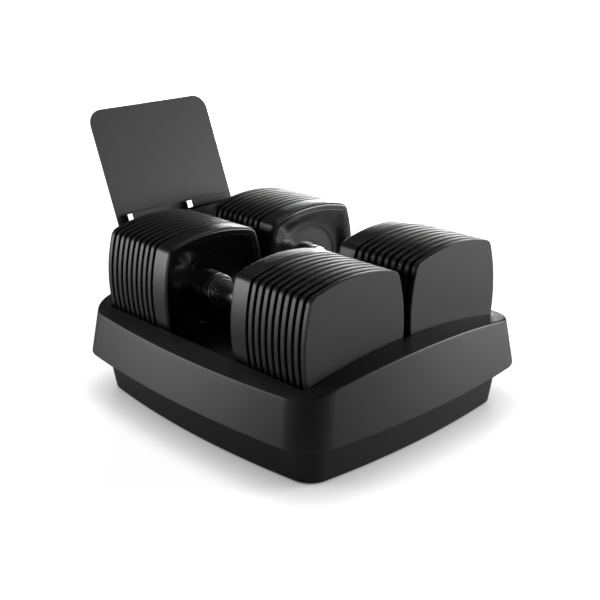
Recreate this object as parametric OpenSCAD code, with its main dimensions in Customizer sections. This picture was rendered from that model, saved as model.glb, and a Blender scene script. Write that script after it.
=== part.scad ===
// Pair of plate-selecting dumbbells docked in a motorised tray with a tablet
// stand. Millimetres, +X right, +Y away from the user, +Z up, origin on the
// floor under the middle of the tray.

/* [Dumbbell head] */
// Width of a head across its bulged sides
head_width = 180; // [145:1:220]
// Height of a head between its bulged top and bottom
head_height = 175; // [145:1:212]
// Radius of the bulged sides
side_bulge_radius = 229; // [190:1:400]
// Radius of the bulged top and bottom
top_bulge_radius = 247; // [205:1:400]
// Radius of the rounded corners
corner_radius = 14.5; // [8:0.5:24]

/* [Weight plates] */
// Thickness of a plate at its rim
plate_thickness = 7.6; // [6:0.1:10]
// Open groove between neighbouring rims
plate_gap = 4.8; // [3.8:0.1:6]
// Width of a plate's thick rim
plate_rim = 12; // [9:0.5:15]
// Thickness of a plate inside its rim
plate_web = 3; // [2.4:0.1:4]
// Diameter of the spacing boss round the lock hole
boss_diameter = 52; // [43:1:64]
// Running gap from a boss to the next plate
boss_gap = 0.4; // [0.3:0.05:0.6]
// Thickness of the end cover
cover_thickness = 1.9; // [1.5:0.1:2.4]
// Shadow gap behind the end cover
cover_gap = 0.5; // [0.3:0.1:0.8]

/* [Handle] */
// Free length between the two housings
grip_length = 138.2; // [115:0.2:170]
// Diameter of the grip at its middle
grip_diameter = 33; // [29:0.5:38]
// Loss of diameter from the middle of the grip to its ends
grip_barrel = 1.6; // [0:0.2:3]
// Wall of the grip tube
grip_wall = 2.6; // [2:0.1:3.2]
// Depth of a housing along the handle
housing_depth = 33; // [28:0.5:40]
// Outer diameter of the collar ring
collar_diameter = 48; // [43:0.5:58]
// How far the collar stands out of the housing
collar_reach = 11; // [9:0.5:13]
// Diameter of the dish's flat floor
dish_diameter = 107; // [96:1:112]
// Width of the housing's face outside the dished cover
dish_margin = 9.5; // [8:0.5:11.4]
// Depth of the dish below the housing face
dish_depth = 8.5; // [7:0.5:10]
// Length of the inlaid cap strip
cap_length = 86; // [72:1:103]
// Width of the inlaid cap strip
cap_width = 22; // [18:0.5:26]

/* [Plate lock] */
// Height of a lock bar
bar_height = 10; // [8:0.5:12]
// Gap between the two lock bars in the grip
bar_split = 4; // [3:0.5:5]
// Depth of a lock bar from its back to the rack tips
bar_depth = 7.5; // [6.5:0.1:8.5]
// Free play round a lock bar in a plate
bar_play = 0.6; // [0.4:0.1:1]
// Module of the rack teeth
rack_module = 1.25; // [1:0.05:1.5]
// Diameter of the drive shaft
shaft_diameter = 10; // [8.4:0.2:12]
// Running clearance of a shaft in its bore, on the radius
shaft_clearance = 0.06; // [0.03:0.01:0.1]
// Across-flats size of the tray's drive hexagon
hex_flats = 8; // [6.7:0.1:9.6]

/* [Tray] */
// Gap between the two dumbbells
head_gap = 13; // [10:0.5:16]
// Height of the lowest point of a docked head
dock_height = 85.5; // [72:0.5:102]
// Gap from a head to the rim of the tray
rim_gap = 2; // [1.2:0.1:3]
// Width of the top ledge at the middle of the sides
ledge_side = 33.6; // [28:0.2:40]
// Width of the top ledge at the middle of the front
ledge_front = 40.8; // [34:0.2:49]
// Height of the ledge at the sides
rim_height = 126; // [116:0.5:140]
// Rise of the ledge from the sides to the middle
rim_crown = 26.7; // [20:0.1:32]
// Height of the lower edge of the upper shell
shell_bottom = 62.6; // [52:0.2:74]
// Wall of the upper shell
shell_wall = 3; // [2.5:0.1:3.6]
// Bow of the sides in plan
side_bow = 18.8; // [12:0.1:22]
// Bow of the front and back in plan
front_bow = 19.4; // [14:0.1:23]
// Outward flare of the sides from rim to lower edge
side_flare = 15.5; // [12:0.1:18.5]
// Outward flare of the front from rim to lower edge
front_flare = 10.3; // [8:0.1:12.3]
// Corner radius of the upper shell in plan
shell_corner = 41; // [34:1:49]
// Height of the wells' top surface
deck_height = 108; // [102:0.5:112]

/* [Base] */
// Inset of the base below the shell at the sides
base_inset_side = 29.7; // [24.8:0.1:34]
// Inset of the base below the shell at the front
base_inset_front = 25.4; // [21.2:0.1:30]
// Outward taper of the base from the floor up to the shell
base_taper = 8; // [6:0.5:9.5]
// Corner radius of the base in plan
base_corner = 24; // [20:1:29]
// Height of the rubber feet
foot_height = 2; // [1.7:0.1:2.4]
// Diameter of a rubber foot
foot_diameter = 24; // [20:1:29]

/* [Tablet stand] */
// Width of the tablet plate
tablet_width = 229; // [191:1:275]
// Height of the tablet plate above its foot, along its own plane
tablet_height = 239; // [199:1:287]
// Thickness of the tablet plate
tablet_thickness = 3; // [2.5:0.1:3.6]
// Backward lean of the tablet plate
tablet_lean = 21.5; // [18:0.5:25.8]
// Corner radius of the tablet plate
tablet_corner = 24; // [20:1:29]
// Width of a hook that the tablet stands on
hook_width = 72; // [60:1:86]
// Depth of the hooks in front of the plate
hook_depth = 16; // [13.3:0.1:19]
// Height of the hooks' lips
hook_lip = 11.6; // [9.6:0.1:14]

/* [Controls] */
// Diameter of the selector knob
knob_diameter = 32; // [27:0.5:38]
// Height of the selector knob
knob_height = 13; // [11:0.5:15.6]
// Width of the console between the grips
console_width = 62; // [52:1:70]
// Length of the console between the grips
console_length = 100; // [84:1:120]
// Height of the console above the deck
console_height = 22; // [18.5:0.5:26]

/* [Hidden] */
$fn = 64;
eps = 0.01;
plate_count = 9;
pinion_teeth = 12;

ha = head_width/2;
hb = head_height/2;
axis_z = dock_height + hb;
side_x = (head_width + head_gap)/2;          // dumbbell axis from the middle
pitch = plate_thickness + plate_gap;
face_in = grip_length/2;                      // housing face toward the grip
face_out = face_in + housing_depth;           // housing face toward the plates
head_end = face_out + plate_count*pitch + cover_gap + cover_thickness - 0.8;
function plate_y(k) = face_out + plate_gap + (k - 1)*pitch;
last_trim = 0.8;                              // the last plate is this much thinner

// ---- bulged outline of a head, o is an outward offset
function corner_c(a, b, rs, rt, rc) =
  let (c1 = [a - rs, 0], c2 = [0, b - rt], r1 = rs - rc, r2 = rt - rc,
       v = c2 - c1, d = norm(v), u = v/d,
       k = (r1*r1 - r2*r2 + d*d)/(2*d), h = sqrt(max(r1*r1 - k*k, 0)),
       m = c1 + k*u, p = m + h*[u[1], -u[0]], q = m - h*[u[1], -u[0]])
  (p[0] + p[1] > q[0] + q[1]) ? p : q;
function arc(c, r, a0, a1, n, from = 0) =
  [for (i = [from:n]) c + r*[cos(a0 + (a1 - a0)*i/n), sin(a0 + (a1 - a0)*i/n)]];
seg_side = 6;
seg_corner = 4;
function quarter(o) =
  let (a = ha + o, b = hb + o, rs = side_bulge_radius + o,
       rt = top_bulge_radius + o, rc = max(corner_radius + o, 1),
       c = corner_c(a, b, rs, rt, rc), c1 = [a - rs, 0], c2 = [0, b - rt],
       t1 = atan2(c[1] - c1[1], c[0] - c1[0]),
       t2 = atan2(c[1] - c2[1], c[0] - c2[0]))
  concat(arc(c1, rs, 0, t1, seg_side), arc(c, rc, t1, t2, seg_corner, 1),
         arc(c2, rt, t2, 90, seg_side, 1));
function outline(o = 0) =
  let (q = quarter(o), n = len(q))
  concat(q, [for (i = [n - 2:-1:0]) [-q[i][0], q[i][1]]],
         [for (i = [1:n - 1]) [-q[i][0], -q[i][1]]],
         [for (i = [n - 2:-1:1]) [q[i][0], -q[i][1]]]);
// height of the outline's top above the axis at x
function top_z(x, o = 0) = hb + o - (top_bulge_radius + o)
  + sqrt(pow(top_bulge_radius + o, 2) - x*x);

// ---- plan loops of the tray
open_x = side_x + ha + rim_gap;
open_y = head_end + rim_gap;
side_slope = side_flare/(rim_height - shell_bottom);
front_slope = front_flare/(rim_height + rim_crown - shell_bottom);
mid_x = open_x + ledge_side + side_flare;     // half width at the lower edge
mid_y = open_y + ledge_front + front_flare;   // half length at the lower edge
ns = 14;
nc = 8;
nloop = 4*(ns + nc);
function rr(w, l, r) =
  let (cx = w - r, cy = l - r,
       cs = [[cx, cy], [-cx, cy], [-cx, -cy], [cx, -cy]])
  [for (k = [0:3])
     let (c = cs[k], n = cs[(k + 1)%4],
          e = c + r*[cos(90*k + 90), sin(90*k + 90)],
          s = n + r*[cos(90*k + 90), sin(90*k + 90)])
     for (i = [0:ns + nc - 1])
       i < nc ? c + r*[cos(90*k + 90*i/nc), sin(90*k + 90*i/nc)]
              : e + (s - e)*(i - nc)/ns];
function bowed(w, l, bx, by, r) =
  [for (p = rr(w, l, r))
     [p[0] + sign(p[0])*bx*(1 - pow(p[1]/l, 2))*min(abs(p[0])/w, 1),
      p[1] + sign(p[1])*by*(1 - pow(p[0]/w, 2))*min(abs(p[1])/l, 1)]];
// upper shell's outer wall at height z, offset o
function wall_loop(z, o) =
  let (dz = z - shell_bottom, bx = side_bow - dz*0.0836,
       by = front_bow - dz*0.0111)
  bowed(mid_x - side_slope*dz - bx + o, mid_y - front_slope*dz - by + o,
        bx, by, shell_corner + o*0.6);
function arch(x) = rim_height + rim_crown*(1 - pow(x/(open_x + ledge_side), 2));
// base's outer wall at height z, offset o
function base_loop(z, o) =
  let (t = base_taper*(z - foot_height)/(shell_bottom - foot_height))
  bowed(mid_x - side_bow - base_inset_side + t + o,
        mid_y - front_bow - base_inset_front + t + o, side_bow*0.91,
        front_bow*0.71, max(base_corner + t*0.6 + o*0.6, 4));
function flat(pts, z) = [for (p = pts) [p[0], p[1], z]];
// points of the wall where it meets a surface d below the arched ledge
function crease(o, d) =
  let (a = wall_loop(rim_height + 10, o),
       za = [for (p = a) arch(p[0]) - d])
  [for (i = [0:nloop - 1])
     let (p = wall_loop(za[i], o)[i]) [p[0], p[1], arch(p[0]) - d]];
function arched(pts, d) = [for (p = pts) [p[0], p[1], arch(p[0]) - d]];

module rings(rs, closed = false) {
  n = len(rs[0]);
  m = len(rs);
  pts = [for (r = rs) for (p = r) p];
  sides = [for (j = [0:closed ? m - 1 : m - 2]) for (i = [0:n - 1])
    let (a = j*n + i, b = j*n + (i + 1)%n, c = ((j + 1)%m)*n + (i + 1)%n,
         d = ((j + 1)%m)*n + i) each [[a, c, b], [a, d, c]]];
  caps = closed ? [] : [[for (i = [0:n - 1]) i],
    [for (i = [n - 1:-1:0]) (m - 1)*n + i]];
  polyhedron(points = pts, faces = concat(sides, caps), convexity = 8);
}
module along_y(y0, y1) {
  translate([0, y1, 0]) rotate([90, 0, 0]) linear_extrude(height = y1 - y0)
    children();
}
module rbox(w, l, r) {
  square([w - 2*r, l], center = true);
  square([w, l - 2*r], center = true);
  for (x = [-1, 1], y = [-1, 1]) translate([x*(w/2 - r), y*(l/2 - r)]) circle(r);
}
module at_side(s) { translate([s*side_x, 0, axis_z]) children(); }
module front() { rotate([0, 0, 180]) children(); }
module both_ends() { children(); front() children(); }

// ---- lock bars, racks and shafts, written for the rear end (+Y)
pitch_r = rack_module*pinion_teeth/2;
bar_back = bar_split/2;
bar_tip = bar_back + bar_depth;
rack_add = 0.7*rack_module;                   // short, so 12 teeth clear it
bar_pitch_x = bar_tip - rack_add;
shaft_x = bar_pitch_x + pitch_r;
pinion_wall = 2.85;
shaft_y = face_out - pinion_wall - 0.5 - rack_module - pitch_r;
tooth_pitch = PI*rack_module;
lock_travel = plate_count*pitch;
bar_y1 = face_out - 0.9;
bar_y0 = shaft_y - lock_travel - 9;          // still in mesh when fully out
tooth_backlash = 0.34;
shaft_bottom = -hb + 2;                        // from the axis height
dog_r = hex_flats/2 + 5;
dog_h = 14;
socket_h = 12;
hex_play = 0.35;
spindle_top = shaft_bottom + socket_h - 1.2;
shaft_top = bar_height/2 + 14;
well_play = 0.3;
well_side = 1.2;
deck_wall = 3;

function inv_pt(rb, t) = rb*[cos(t) + t*PI/180*sin(t), sin(t) - t*PI/180*cos(t)];
function rot2(p, a) = [p[0]*cos(a) - p[1]*sin(a), p[0]*sin(a) + p[1]*cos(a)];
module gear2d(m, z, backlash) {
  rp = m*z/2;
  rb = rp*cos(20);
  ra = rp + m*0.95;
  rf = rp - 1.25*m;
  tmax = sqrt(pow(ra/rb, 2) - 1)*180/PI;
  tp = sqrt(pow(rp/rb, 2) - 1)*180/PI;
  pp = inv_pt(rb, tp);
  ap = atan2(pp[1], pp[0]);
  half = 90/z - backlash/2/rp*180/PI;
  steps = 5;
  flank = [for (i = [0:steps]) rot2(inv_pt(rb, tmax*i/steps), -ap - half)];
  union() {
    circle(rf, $fn = 48);
    for (k = [0:z - 1]) rotate(360*k/z)
      polygon(concat([[rf*0.9*cos(-ap - half), rf*0.9*sin(-ap - half)]], flank,
        [for (i = [steps:-1:0]) [flank[i][0], -flank[i][1]]],
        [[rf*0.9*cos(-ap - half), -rf*0.9*sin(-ap - half)]]));
  }
}
// plan of the rear lock bar: rack on its -X side, back toward the middle
module rack2d() {
  p = tooth_pitch;
  n0 = ceil((bar_y0 - shaft_y)/p) + 1;
  n1 = floor((bar_y1 - 4 - shaft_y)/p) - 1;
  w = p/4 - tooth_backlash/4;
  root = bar_pitch_x - 1.25*rack_module;
  tip = bar_tip;
  polygon(concat(
    [[-bar_back, bar_y0], [-bar_back, bar_y1], [-root + 1.2, bar_y1],
     [-root, bar_y1 - 1.6]],
    [for (k = [n1:-1:n0]) let (y = shaft_y + (k + 0.5)*p)
       each [[-root, y + w + (bar_pitch_x - root)*tan(20)],
             [-tip, y + w - (tip - bar_pitch_x)*tan(20)],
             [-tip, y - w + (tip - bar_pitch_x)*tan(20)],
             [-root, y - w - (bar_pitch_x - root)*tan(20)]]],
    [[-root, bar_y0]]));
}
module lock_bar() {
  color("silver") translate([0, 0, -bar_height/2])
    linear_extrude(height = bar_height) rack2d();
}
module bar_hole(play, y0, y1) {
  translate([-bar_tip - play, y0, -bar_height/2 - play])
    cube([bar_depth + 2*play, y1 - y0, bar_height + 2*play]);
}
module drive_shaft() {
  color("gainsboro") translate([-shaft_x, shaft_y, 0]) difference() {
    union() {
      translate([0, 0, shaft_bottom + dog_h - eps])
        cylinder(d = shaft_diameter, h = shaft_top - shaft_bottom - dog_h);
      translate([0, 0, shaft_bottom]) cylinder(r = dog_r, h = dog_h);
      translate([0, 0, -bar_height/2]) linear_extrude(height = bar_height)
        gear2d(rack_module, pinion_teeth, tooth_backlash);
    }
    translate([0, 0, shaft_bottom - 1])
      cylinder(d = (hex_flats + 2*hex_play)/cos(30), h = socket_h + 1, $fn = 6);
  }
}
module spindle() {
  color("goldenrod") translate([-shaft_x, shaft_y, 0]) {
    translate([0, 0, -hb + 0.8])
      cylinder(d = hex_flats/cos(30), h = spindle_top + hb - 0.8, $fn = 6);
    translate([0, 0, -hb - 16]) cylinder(r = hex_flats/2 - 0.4, h = 16.8 + eps);
  }
}

// ---- weight plates
module plate_end(k) {
  y0 = plate_y(k);
  t = plate_thickness - (k == plate_count ? last_trim : 0);
  pocket = (t - plate_web)/2;
  difference() {
    union() {
      difference() {
        along_y(y0, y0 + t) polygon(outline());
        along_y(y0 - 1, y0 + pocket) polygon(outline(-plate_rim));
        along_y(y0 + t - pocket, y0 + t + 1) polygon(outline(-plate_rim));
      }
      translate([0, y0 + t, 0]) rotate([90, 0, 0])
        cylinder(d = boss_diameter, h = t);
      translate([0, y0 + 1, 0]) rotate([90, 0, 0])
        cylinder(d = boss_diameter, h = plate_gap - boss_gap + 1);
    }
    bar_hole(bar_play, y0 - plate_gap, y0 + t + 1);
    // stepped number mark in the rim
    translate([-0.36*head_width + 0.072*head_width*k, y0 + t/2, 0])
      translate([0, 0, top_z(-0.36*head_width + 0.072*head_width*k) - 0.7])
        cylinder(d = 2.6, h = 4, $fn = 24);
  }
}
module plate(s, k) {
  color([0.19, 0.19, 0.2]) at_side(s) both_ends() plate_end(k);
}
module end_covers(s) {
  y0 = plate_y(plate_count) + plate_thickness - last_trim;
  color([0.24, 0.24, 0.25]) at_side(s) both_ends() {
    along_y(y0 + cover_gap, y0 + cover_gap + cover_thickness)
      polygon(outline());
    along_y(y0, y0 + cover_gap + eps) difference() {
      polygon(outline(-2.2));
      polygon(outline(-12));
    }
  }
}

// ---- handle
module housing() {
  color([0.13, 0.13, 0.14]) difference() {
    along_y(face_in, face_out) polygon(outline());
    // dish seat
    along_y(face_in - 1, face_in + dish_depth + 2.4)
      polygon(outline(-dish_margin));
    // grip socket
    translate([0, face_in - 1, 0]) rotate([-90, 0, 0])
      cylinder(d = grip_end_d + 0.1, h = 1 + socket_in, $fn = 64);
    bar_hole(0.4, face_in - 1, face_out + 1);
    // room for the other bar's tail in the tube's socket only
    translate([-shaft_x, shaft_y, -bar_height/2 - 0.5])
      cylinder(r = pitch_r + rack_module + 0.5, h = bar_height + 1);
    translate([-shaft_x, shaft_y, -hb - 4]) {
      cylinder(r = shaft_diameter/2 + shaft_clearance, h = hb + 4 + shaft_top + 0.5);
      cylinder(r = dog_r + 0.3, h = hb + 4 + shaft_bottom + dog_h + 0.4);
    }
    // cap strip seat
    translate([0, face_in + housing_depth/2, hb - 8])
      cap_prism(0.15, 20, top_z(cap_length/2) - hb + 8 - 2.2);
    for (x = [-1, 1]) translate([x*cap_screw_x, face_in + housing_depth/2, hb - 16])
      cylinder(r = 1.4, h = 20, $fn = 24);
  }
}
cap_screw_x = cap_length/2 - cap_width/2 + 3;
socket_in = dish_depth + 2.6;
grip_end_d = grip_diameter - grip_barrel;
module cap_prism(o, top, base = 0) {
  translate([0, 0, base]) linear_extrude(height = top - base) union() {
    square([cap_length - cap_width, cap_width + 2*o], center = true);
    for (x = [-1, 1]) translate([x*(cap_length - cap_width)/2, 0])
      circle(cap_width/2 + o);
  }
}
module cap_strip() {
  b = top_z(cap_length/2) - 2.2;
  difference() {
    intersection() {
      translate([0, face_in + housing_depth/2, 0]) cap_prism(-0.15, hb + 1, b);
      along_y(face_in, face_out) polygon(outline(0.35));
    }
    for (x = [-1, 1]) translate([x*cap_screw_x, face_in + housing_depth/2, 0]) {
      translate([0, 0, b - 1]) cylinder(r = 1.5, h = 20, $fn = 24);
      translate([0, 0, top_z(cap_screw_x) - 1.1]) cylinder(r = 2.9, h = 20, $fn = 32);
    }
  }
}
module dish() {
  rc = collar_diameter/2 + 0.15;
  ro = dish_diameter/2;
  d = dish_depth;
  difference() {
    along_y(face_in + 0.3, face_in + d + 2.1)
      polygon(outline(-dish_margin - 0.3));
    // floor with a rounded, flared wall
    translate([0, face_in, 0]) rotate([-90, 0, 0]) rotate_extrude($fn = 96)
      polygon([[0, -1], [0, d], [ro - 2, d], [ro + 1.6, d*0.93],
        [ro + 4.6, d*0.78], [ro + 7.4, d*0.56], [ro + 10, d*0.3],
        [ro + 12.4, 0.2], [ro + 12.4, -1]]);
    translate([0, face_in - 1, 0]) rotate([-90, 0, 0])
      cylinder(r = rc, h = d + 6, $fn = 96);
  }
}
module collar() {
  r = collar_diameter/2;
  ri = grip_end_d/2 + 0.05;
  translate([0, face_in, 0]) rotate([-90, 0, 0]) rotate_extrude($fn = 96)
    polygon([[ri, dish_depth + 2], [ri, -collar_reach - 6],
      [ri + 2, -collar_reach - 6], [ri + 3, -collar_reach - 5],
      [ri + 3, -collar_reach], [r - 2.4, -collar_reach], [r - 0.8, -collar_reach + 0.6],
      [r, -collar_reach + 2], [r, -collar_reach + 6.6], [r - 0.7, -collar_reach + 7.4],
      [r - 0.7, -collar_reach + 8.2], [r, -collar_reach + 9],
      [r, dish_depth + 2]]);
}
module grip() {
  r0 = grip_end_d/2;
  ri = r0 - grip_wall;
  yl = face_in + socket_in - 0.1;
  rotate([-90, 0, 0]) rotate_extrude($fn = 96)
    polygon(concat([[ri, -yl], [r0, -yl], [r0, -face_in + collar_reach + 7]],
      [for (i = [-6:6]) [grip_diameter/2 - grip_barrel/2*pow(i/6, 2) + 0,
                         i/6*(face_in - collar_reach - 9)]],
      [[r0, face_in - collar_reach - 7], [r0, yl], [ri, yl]]));
}
module screws_handle() {
  for (x = [-1, 1]) translate([x*cap_screw_x, face_in + housing_depth/2, 0])
    difference() {
      union() {
        translate([0, 0, top_z(cap_screw_x) - 1.1]) cylinder(r = 2.7, h = 1.2, $fn = 32);
        translate([0, 0, top_z(cap_screw_x) - 9]) cylinder(r = 1.35, h = 8.2, $fn = 24);
      }
      translate([0, 0, top_z(cap_screw_x) - 0.6])
        cylinder(d = 2.6, h = 2, $fn = 6);
    }
}

// ---- tray
base_gap = 0.3;
module tray_shell() {
  z0 = shell_bottom;
  w = shell_wall;
  op = rr(open_x, open_y, 10);
  op1 = rr(open_x + 1.6, open_y + 1.6, 11.6);
  opw = rr(open_x + w, open_y + w, 10 + w);
  color([0.33, 0.33, 0.34]) rings([
    flat(base_loop(z0, base_gap), z0),
    flat(wall_loop(z0, -2.2), z0),
    flat(wall_loop(z0 + 0.6, -0.6), z0 + 0.6),
    flat(wall_loop(z0 + 2, 0), z0 + 2),
    crease(0, 3),
    crease(-0.8, 0.8),
    crease(-3.0, 0),
    arched(op1, 0),
    arched(op, 1.4),
    flat(op, deck_height),
    flat(opw, deck_height),
    arched(opw, w + 1),
    crease(-w - 0.4, w + 2),
    flat(wall_loop(z0 + w + 2, -w), z0 + w + 2),
    flat(wall_loop(z0 + w, -w - 2), z0 + w),
    flat(base_loop(z0 + w, base_gap), z0 + w)], closed = true);
}
pan_floor = 4;
pan_top = shell_bottom + 10;
module base_pan() {
  z0 = foot_height;
  color([0.1, 0.1, 0.105]) difference() {
    rings([
      flat(base_loop(z0, -1.8), z0),
      flat(base_loop(z0 + 0.5, -0.5), z0 + 0.5),
      flat(base_loop(z0 + 1.6, 0), z0 + 1.6),
      flat(base_loop(pan_top, 0), pan_top),
      flat(base_loop(pan_top, -3), pan_top),
      flat(base_loop(z0 + pan_floor, -3.4), z0 + pan_floor)]);
    for (p = post_at) translate([p[0], p[1], z0 - 1])
      cylinder(r = 3.9, h = 1 + 2.4, $fn = 32);
    for (p = post_at) translate([p[0], p[1], z0 - 1])
      cylinder(r = 1.8, h = pan_floor + 2, $fn = 24);
    at_inlet() translate([0, 0, -10]) cylinder(d = inlet_d + 0.3, h = 20);
    // flat seat for the inlet's flange
    at_inlet() translate([0, 0, 0.8]) cylinder(d = inlet_d + 4.6, h = 20);
  }
  color([0.1, 0.1, 0.105]) for (p = post_at)
    translate([p[0], p[1], z0 + pan_floor - eps]) difference() {
      cylinder(r = 5.5, h = deck_height - 4 - z0 - pan_floor + eps, $fn = 32);
      translate([0, 0, -1]) cylinder(r = 1.8, h = 30, $fn = 24);
    }
}
post_x = open_x - 24;
post_y = face_in - 28;
post_at = [[post_x, post_y], [-post_x, post_y], [-post_x, -post_y],
  [post_x, -post_y], [0, post_y], [0, -post_y]];
inlet_d = 12;
inlet_x = 62;
inlet_z = (foot_height + shell_bottom)/2;
module at_inlet() {
  // on the rear wall of the base, square to its taper
  y = mid_y - base_inset_front - front_bow + base_taper/2
    + front_bow*0.71*(1 - pow(inlet_x/(mid_x - side_bow - base_inset_side), 2));
  translate([inlet_x, y + 0.45, inlet_z]) rotate([-90, 0, 0])
    rotate([-atan(base_taper/(shell_bottom - foot_height)), 0, 0]) children();
}
module power_inlet() {
  color("dimgray") at_inlet() difference() {
    union() {
      translate([0, 0, -14]) cylinder(d = inlet_d, h = 15);
      translate([0, 0, 0.9]) cylinder(d = inlet_d + 4, h = 1.3);
    }
    difference() {
      translate([0, 0, -8]) cylinder(d = 5.6, h = 12, $fn = 32);
      translate([0, 0, -9]) cylinder(d = 2, h = 8, $fn = 24);
    }
  }
}
foot_x = mid_x - base_inset_side - side_bow - 22;
foot_y = mid_y - base_inset_front - front_bow - 22;
module rubber_feet() {
  color([0.06, 0.06, 0.06])
    for (p = [[1, 1], [-1, 1], [-1, -1], [1, -1], [1, 0], [-1, 0], [0, 0]])
      translate([p[0]*foot_x, p[1]*foot_y, 0]) {
        cylinder(d = foot_diameter - 1.6, h = 0.6);
        translate([0, 0, 0.6 - eps]) cylinder(d = foot_diameter, h = foot_height - 0.6 + eps);
      }
}
module base_screws() {
  color("silver") {
    for (p = post_at) translate([p[0], p[1], foot_height + 0.2]) difference() {
      union() {
        cylinder(r = 3.5, h = 2.2, $fn = 32);
        translate([0, 0, 2.2 - eps]) cylinder(r = 1.7, h = 18, $fn = 24);
      }
      translate([0, 0, -1]) cylinder(d = 3.4, h = 2.2, $fn = 6);
    }
    for (x = [-1, 1]) at_bracket_screw(x) difference() {
      union() {
        cylinder(r = 3.4, h = 2, $fn = 32);
        translate([0, 0, -11]) cylinder(r = 1.7, h = 11 + eps, $fn = 24);
      }
      translate([0, 0, 0.8]) cylinder(d = 3.4, h = 3, $fn = 6);
    }
  }
}
module tub2d(o) { polygon(outline(o)); }
module tray_deck() {
  color([0.09, 0.09, 0.095]) difference() {
    union() {
      translate([0, 0, deck_height - 4]) linear_extrude(height = 4)
        rbox(2*open_x + 14, 2*open_y + 14, 12);
      for (s = [-1, 1], e = [0, 180]) at_side(s) rotate([0, 0, e]) {
        along_y(face_in - rim_gap - deck_wall, open_y + deck_wall)
          intersection() {
            polygon(outline(well_side + deck_wall));
            translate([-ha - 20, -hb - 20]) square([2*ha + 40, 20 + hb - (axis_z - deck_height) - 1]);
          }
        translate([-shaft_x, shaft_y, -hb - boss_down]) cylinder(r = gearbox_r + 1.5, h = 8);
      }
    }
    for (s = [-1, 1], e = [0, 180]) at_side(s) rotate([0, 0, e]) {
      along_y(face_in - rim_gap, open_y) well2d();
      translate([-shaft_x, shaft_y, -hb - 20])
        cylinder(r = hex_flats/2 - 0.4 + shaft_clearance, h = 40);
    }
    for (p = post_at) translate([p[0], p[1], deck_height - 5])
      cylinder(r = 1.7, h = 2.5, $fn = 24);
    translate([0, 0, deck_height - 6]) cylinder(r = 9, h = 10);
  }
  color([0.09, 0.09, 0.095])
    for (s = [-1, 1], e = [0, 180]) at_side(s) rotate([0, 0, e])
      for (k = [1:plate_count])
        along_y(plate_y(k) - plate_gap/2 - fin_t/2, plate_y(k) - plate_gap/2 + fin_t/2)
          difference() {
            intersection() {
              polygon(outline(well_side + 0.5));
              translate([-ha - 20, -hb - 20])
                square([2*ha + 40, 20 + hb - (axis_z - deck_height) - 6]);
            }
            // open middle, so that the fins hold the plates by their corners
            translate([-ha*0.45, -hb + 6]) square([ha*0.9, hb]);
          }
}
fin_t = 2.6;
boss_down = 8;
gearbox_r = 18.5;
// a well follows the head: close below, a little wider at the sides
module well2d() {
  intersection() {
    union() {
      polygon(outline(well_play));
      translate([0, 3]) polygon(outline(well_side));
    }
    translate([-ha - 20, -hb - 5]) square([2*ha + 40, 4*hb]);
  }
}
module drive_motors() {
  zt = -hb - boss_down;
  color("slategray") for (s = [-1, 1], e = [0, 180]) at_side(s) rotate([0, 0, e])
    translate([-shaft_x, shaft_y, 0]) difference() {
      union() {
        translate([0, 0, zt - 24]) cylinder(r = gearbox_r, h = 24);
        translate([0, 0, zt - 27]) cylinder(r = 16, h = 4);
        translate([0, 0, zt - 56]) cylinder(r = 14, h = 30);
        translate([0, 0, zt - 60]) cylinder(r = 5, h = 5);
      }
      translate([0, 0, zt - 14])
        cylinder(r = hex_flats/2 - 0.4 + shaft_clearance, h = 20);
    }
}
module control_board() {
  z0 = foot_height + pan_floor;
  color([0.05, 0.25, 0.12]) {
    translate([0, 0, z0 + 8]) linear_extrude(height = 1.6) difference() {
      square([84, 62], center = true);
      for (x = [-1, 1], y = [-1, 1]) translate([x*37, y*26]) circle(1.6, $fn = 24);
    }
    for (x = [-1, 1], y = [-1, 1]) translate([x*37, y*26, z0])
      cylinder(r = 3, h = 8.01, $fn = 24);
    translate([-12, -8, z0 + 9.59]) cube([24, 16, 2.4]);
    translate([-36, -10, z0 + 9.59]) cube([9, 24, 9]);
    translate([22, -20, z0 + 9.59]) cube([14, 12, 11]);
    for (x = [20:8:36]) translate([x, 14, z0 + 9.59]) cylinder(r = 3, h = 9, $fn = 24);
  }
}
knob_y = -console_length/2 + 28;
display_y = 20;
console_top = deck_height + console_height;
module console_pod() {
  color([0.15, 0.15, 0.16]) difference() {
    union() {
      translate([0, 0, deck_height]) linear_extrude(height = 3)
        rbox(console_width, console_length, 14);
      translate([0, 0, deck_height + 3 - eps]) linear_extrude(height = console_height - 3 + eps)
        rbox(console_width - 4, console_length - 4, 12);
    }
    translate([0, 0, deck_height - 1]) linear_extrude(height = console_height - 2.5)
      rbox(console_width - 10, console_length - 10, 9);
    translate([0, display_y, console_top - 1.6]) linear_extrude(height = 3)
      rbox(console_width - 16, 34, 3);
    translate([0, knob_y, console_top - 6]) cylinder(r = 4 + shaft_clearance, h = 10);
    translate([0, knob_y, console_top - 0.8])
      cylinder(d = knob_diameter + 3, h = 2);
  }
}
module display_window() {
  color([0.02, 0.02, 0.03]) translate([0, display_y, console_top - 1.6])
    linear_extrude(height = 1.5) rbox(console_width - 16.3, 33.7, 2.85);
}
module selector_knob() {
  color("gray") translate([0, knob_y, console_top - 0.5]) {
    difference() {
      union() {
        cylinder(d = knob_diameter, h = knob_height - 1.5);
        translate([0, 0, knob_height - 1.5 - eps])
          cylinder(d1 = knob_diameter, d2 = knob_diameter - 3, h = 1.5 + eps);
      }
      for (i = [0:29]) rotate(12*i) translate([knob_diameter/2 + 0.5, 0, 1.5])
        cylinder(r = 1.1, h = knob_height - 4, $fn = 16);
      translate([0, 0, knob_height - 0.7]) cylinder(d = knob_diameter - 8, h = 2);
      translate([0, knob_diameter/2 - 5.5, knob_height - 1.4]) cylinder(r = 1.1, h = 3, $fn = 24);
    }
    translate([0, 0, -8]) cylinder(r = 4, h = 8 + eps);
  }
}

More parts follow.
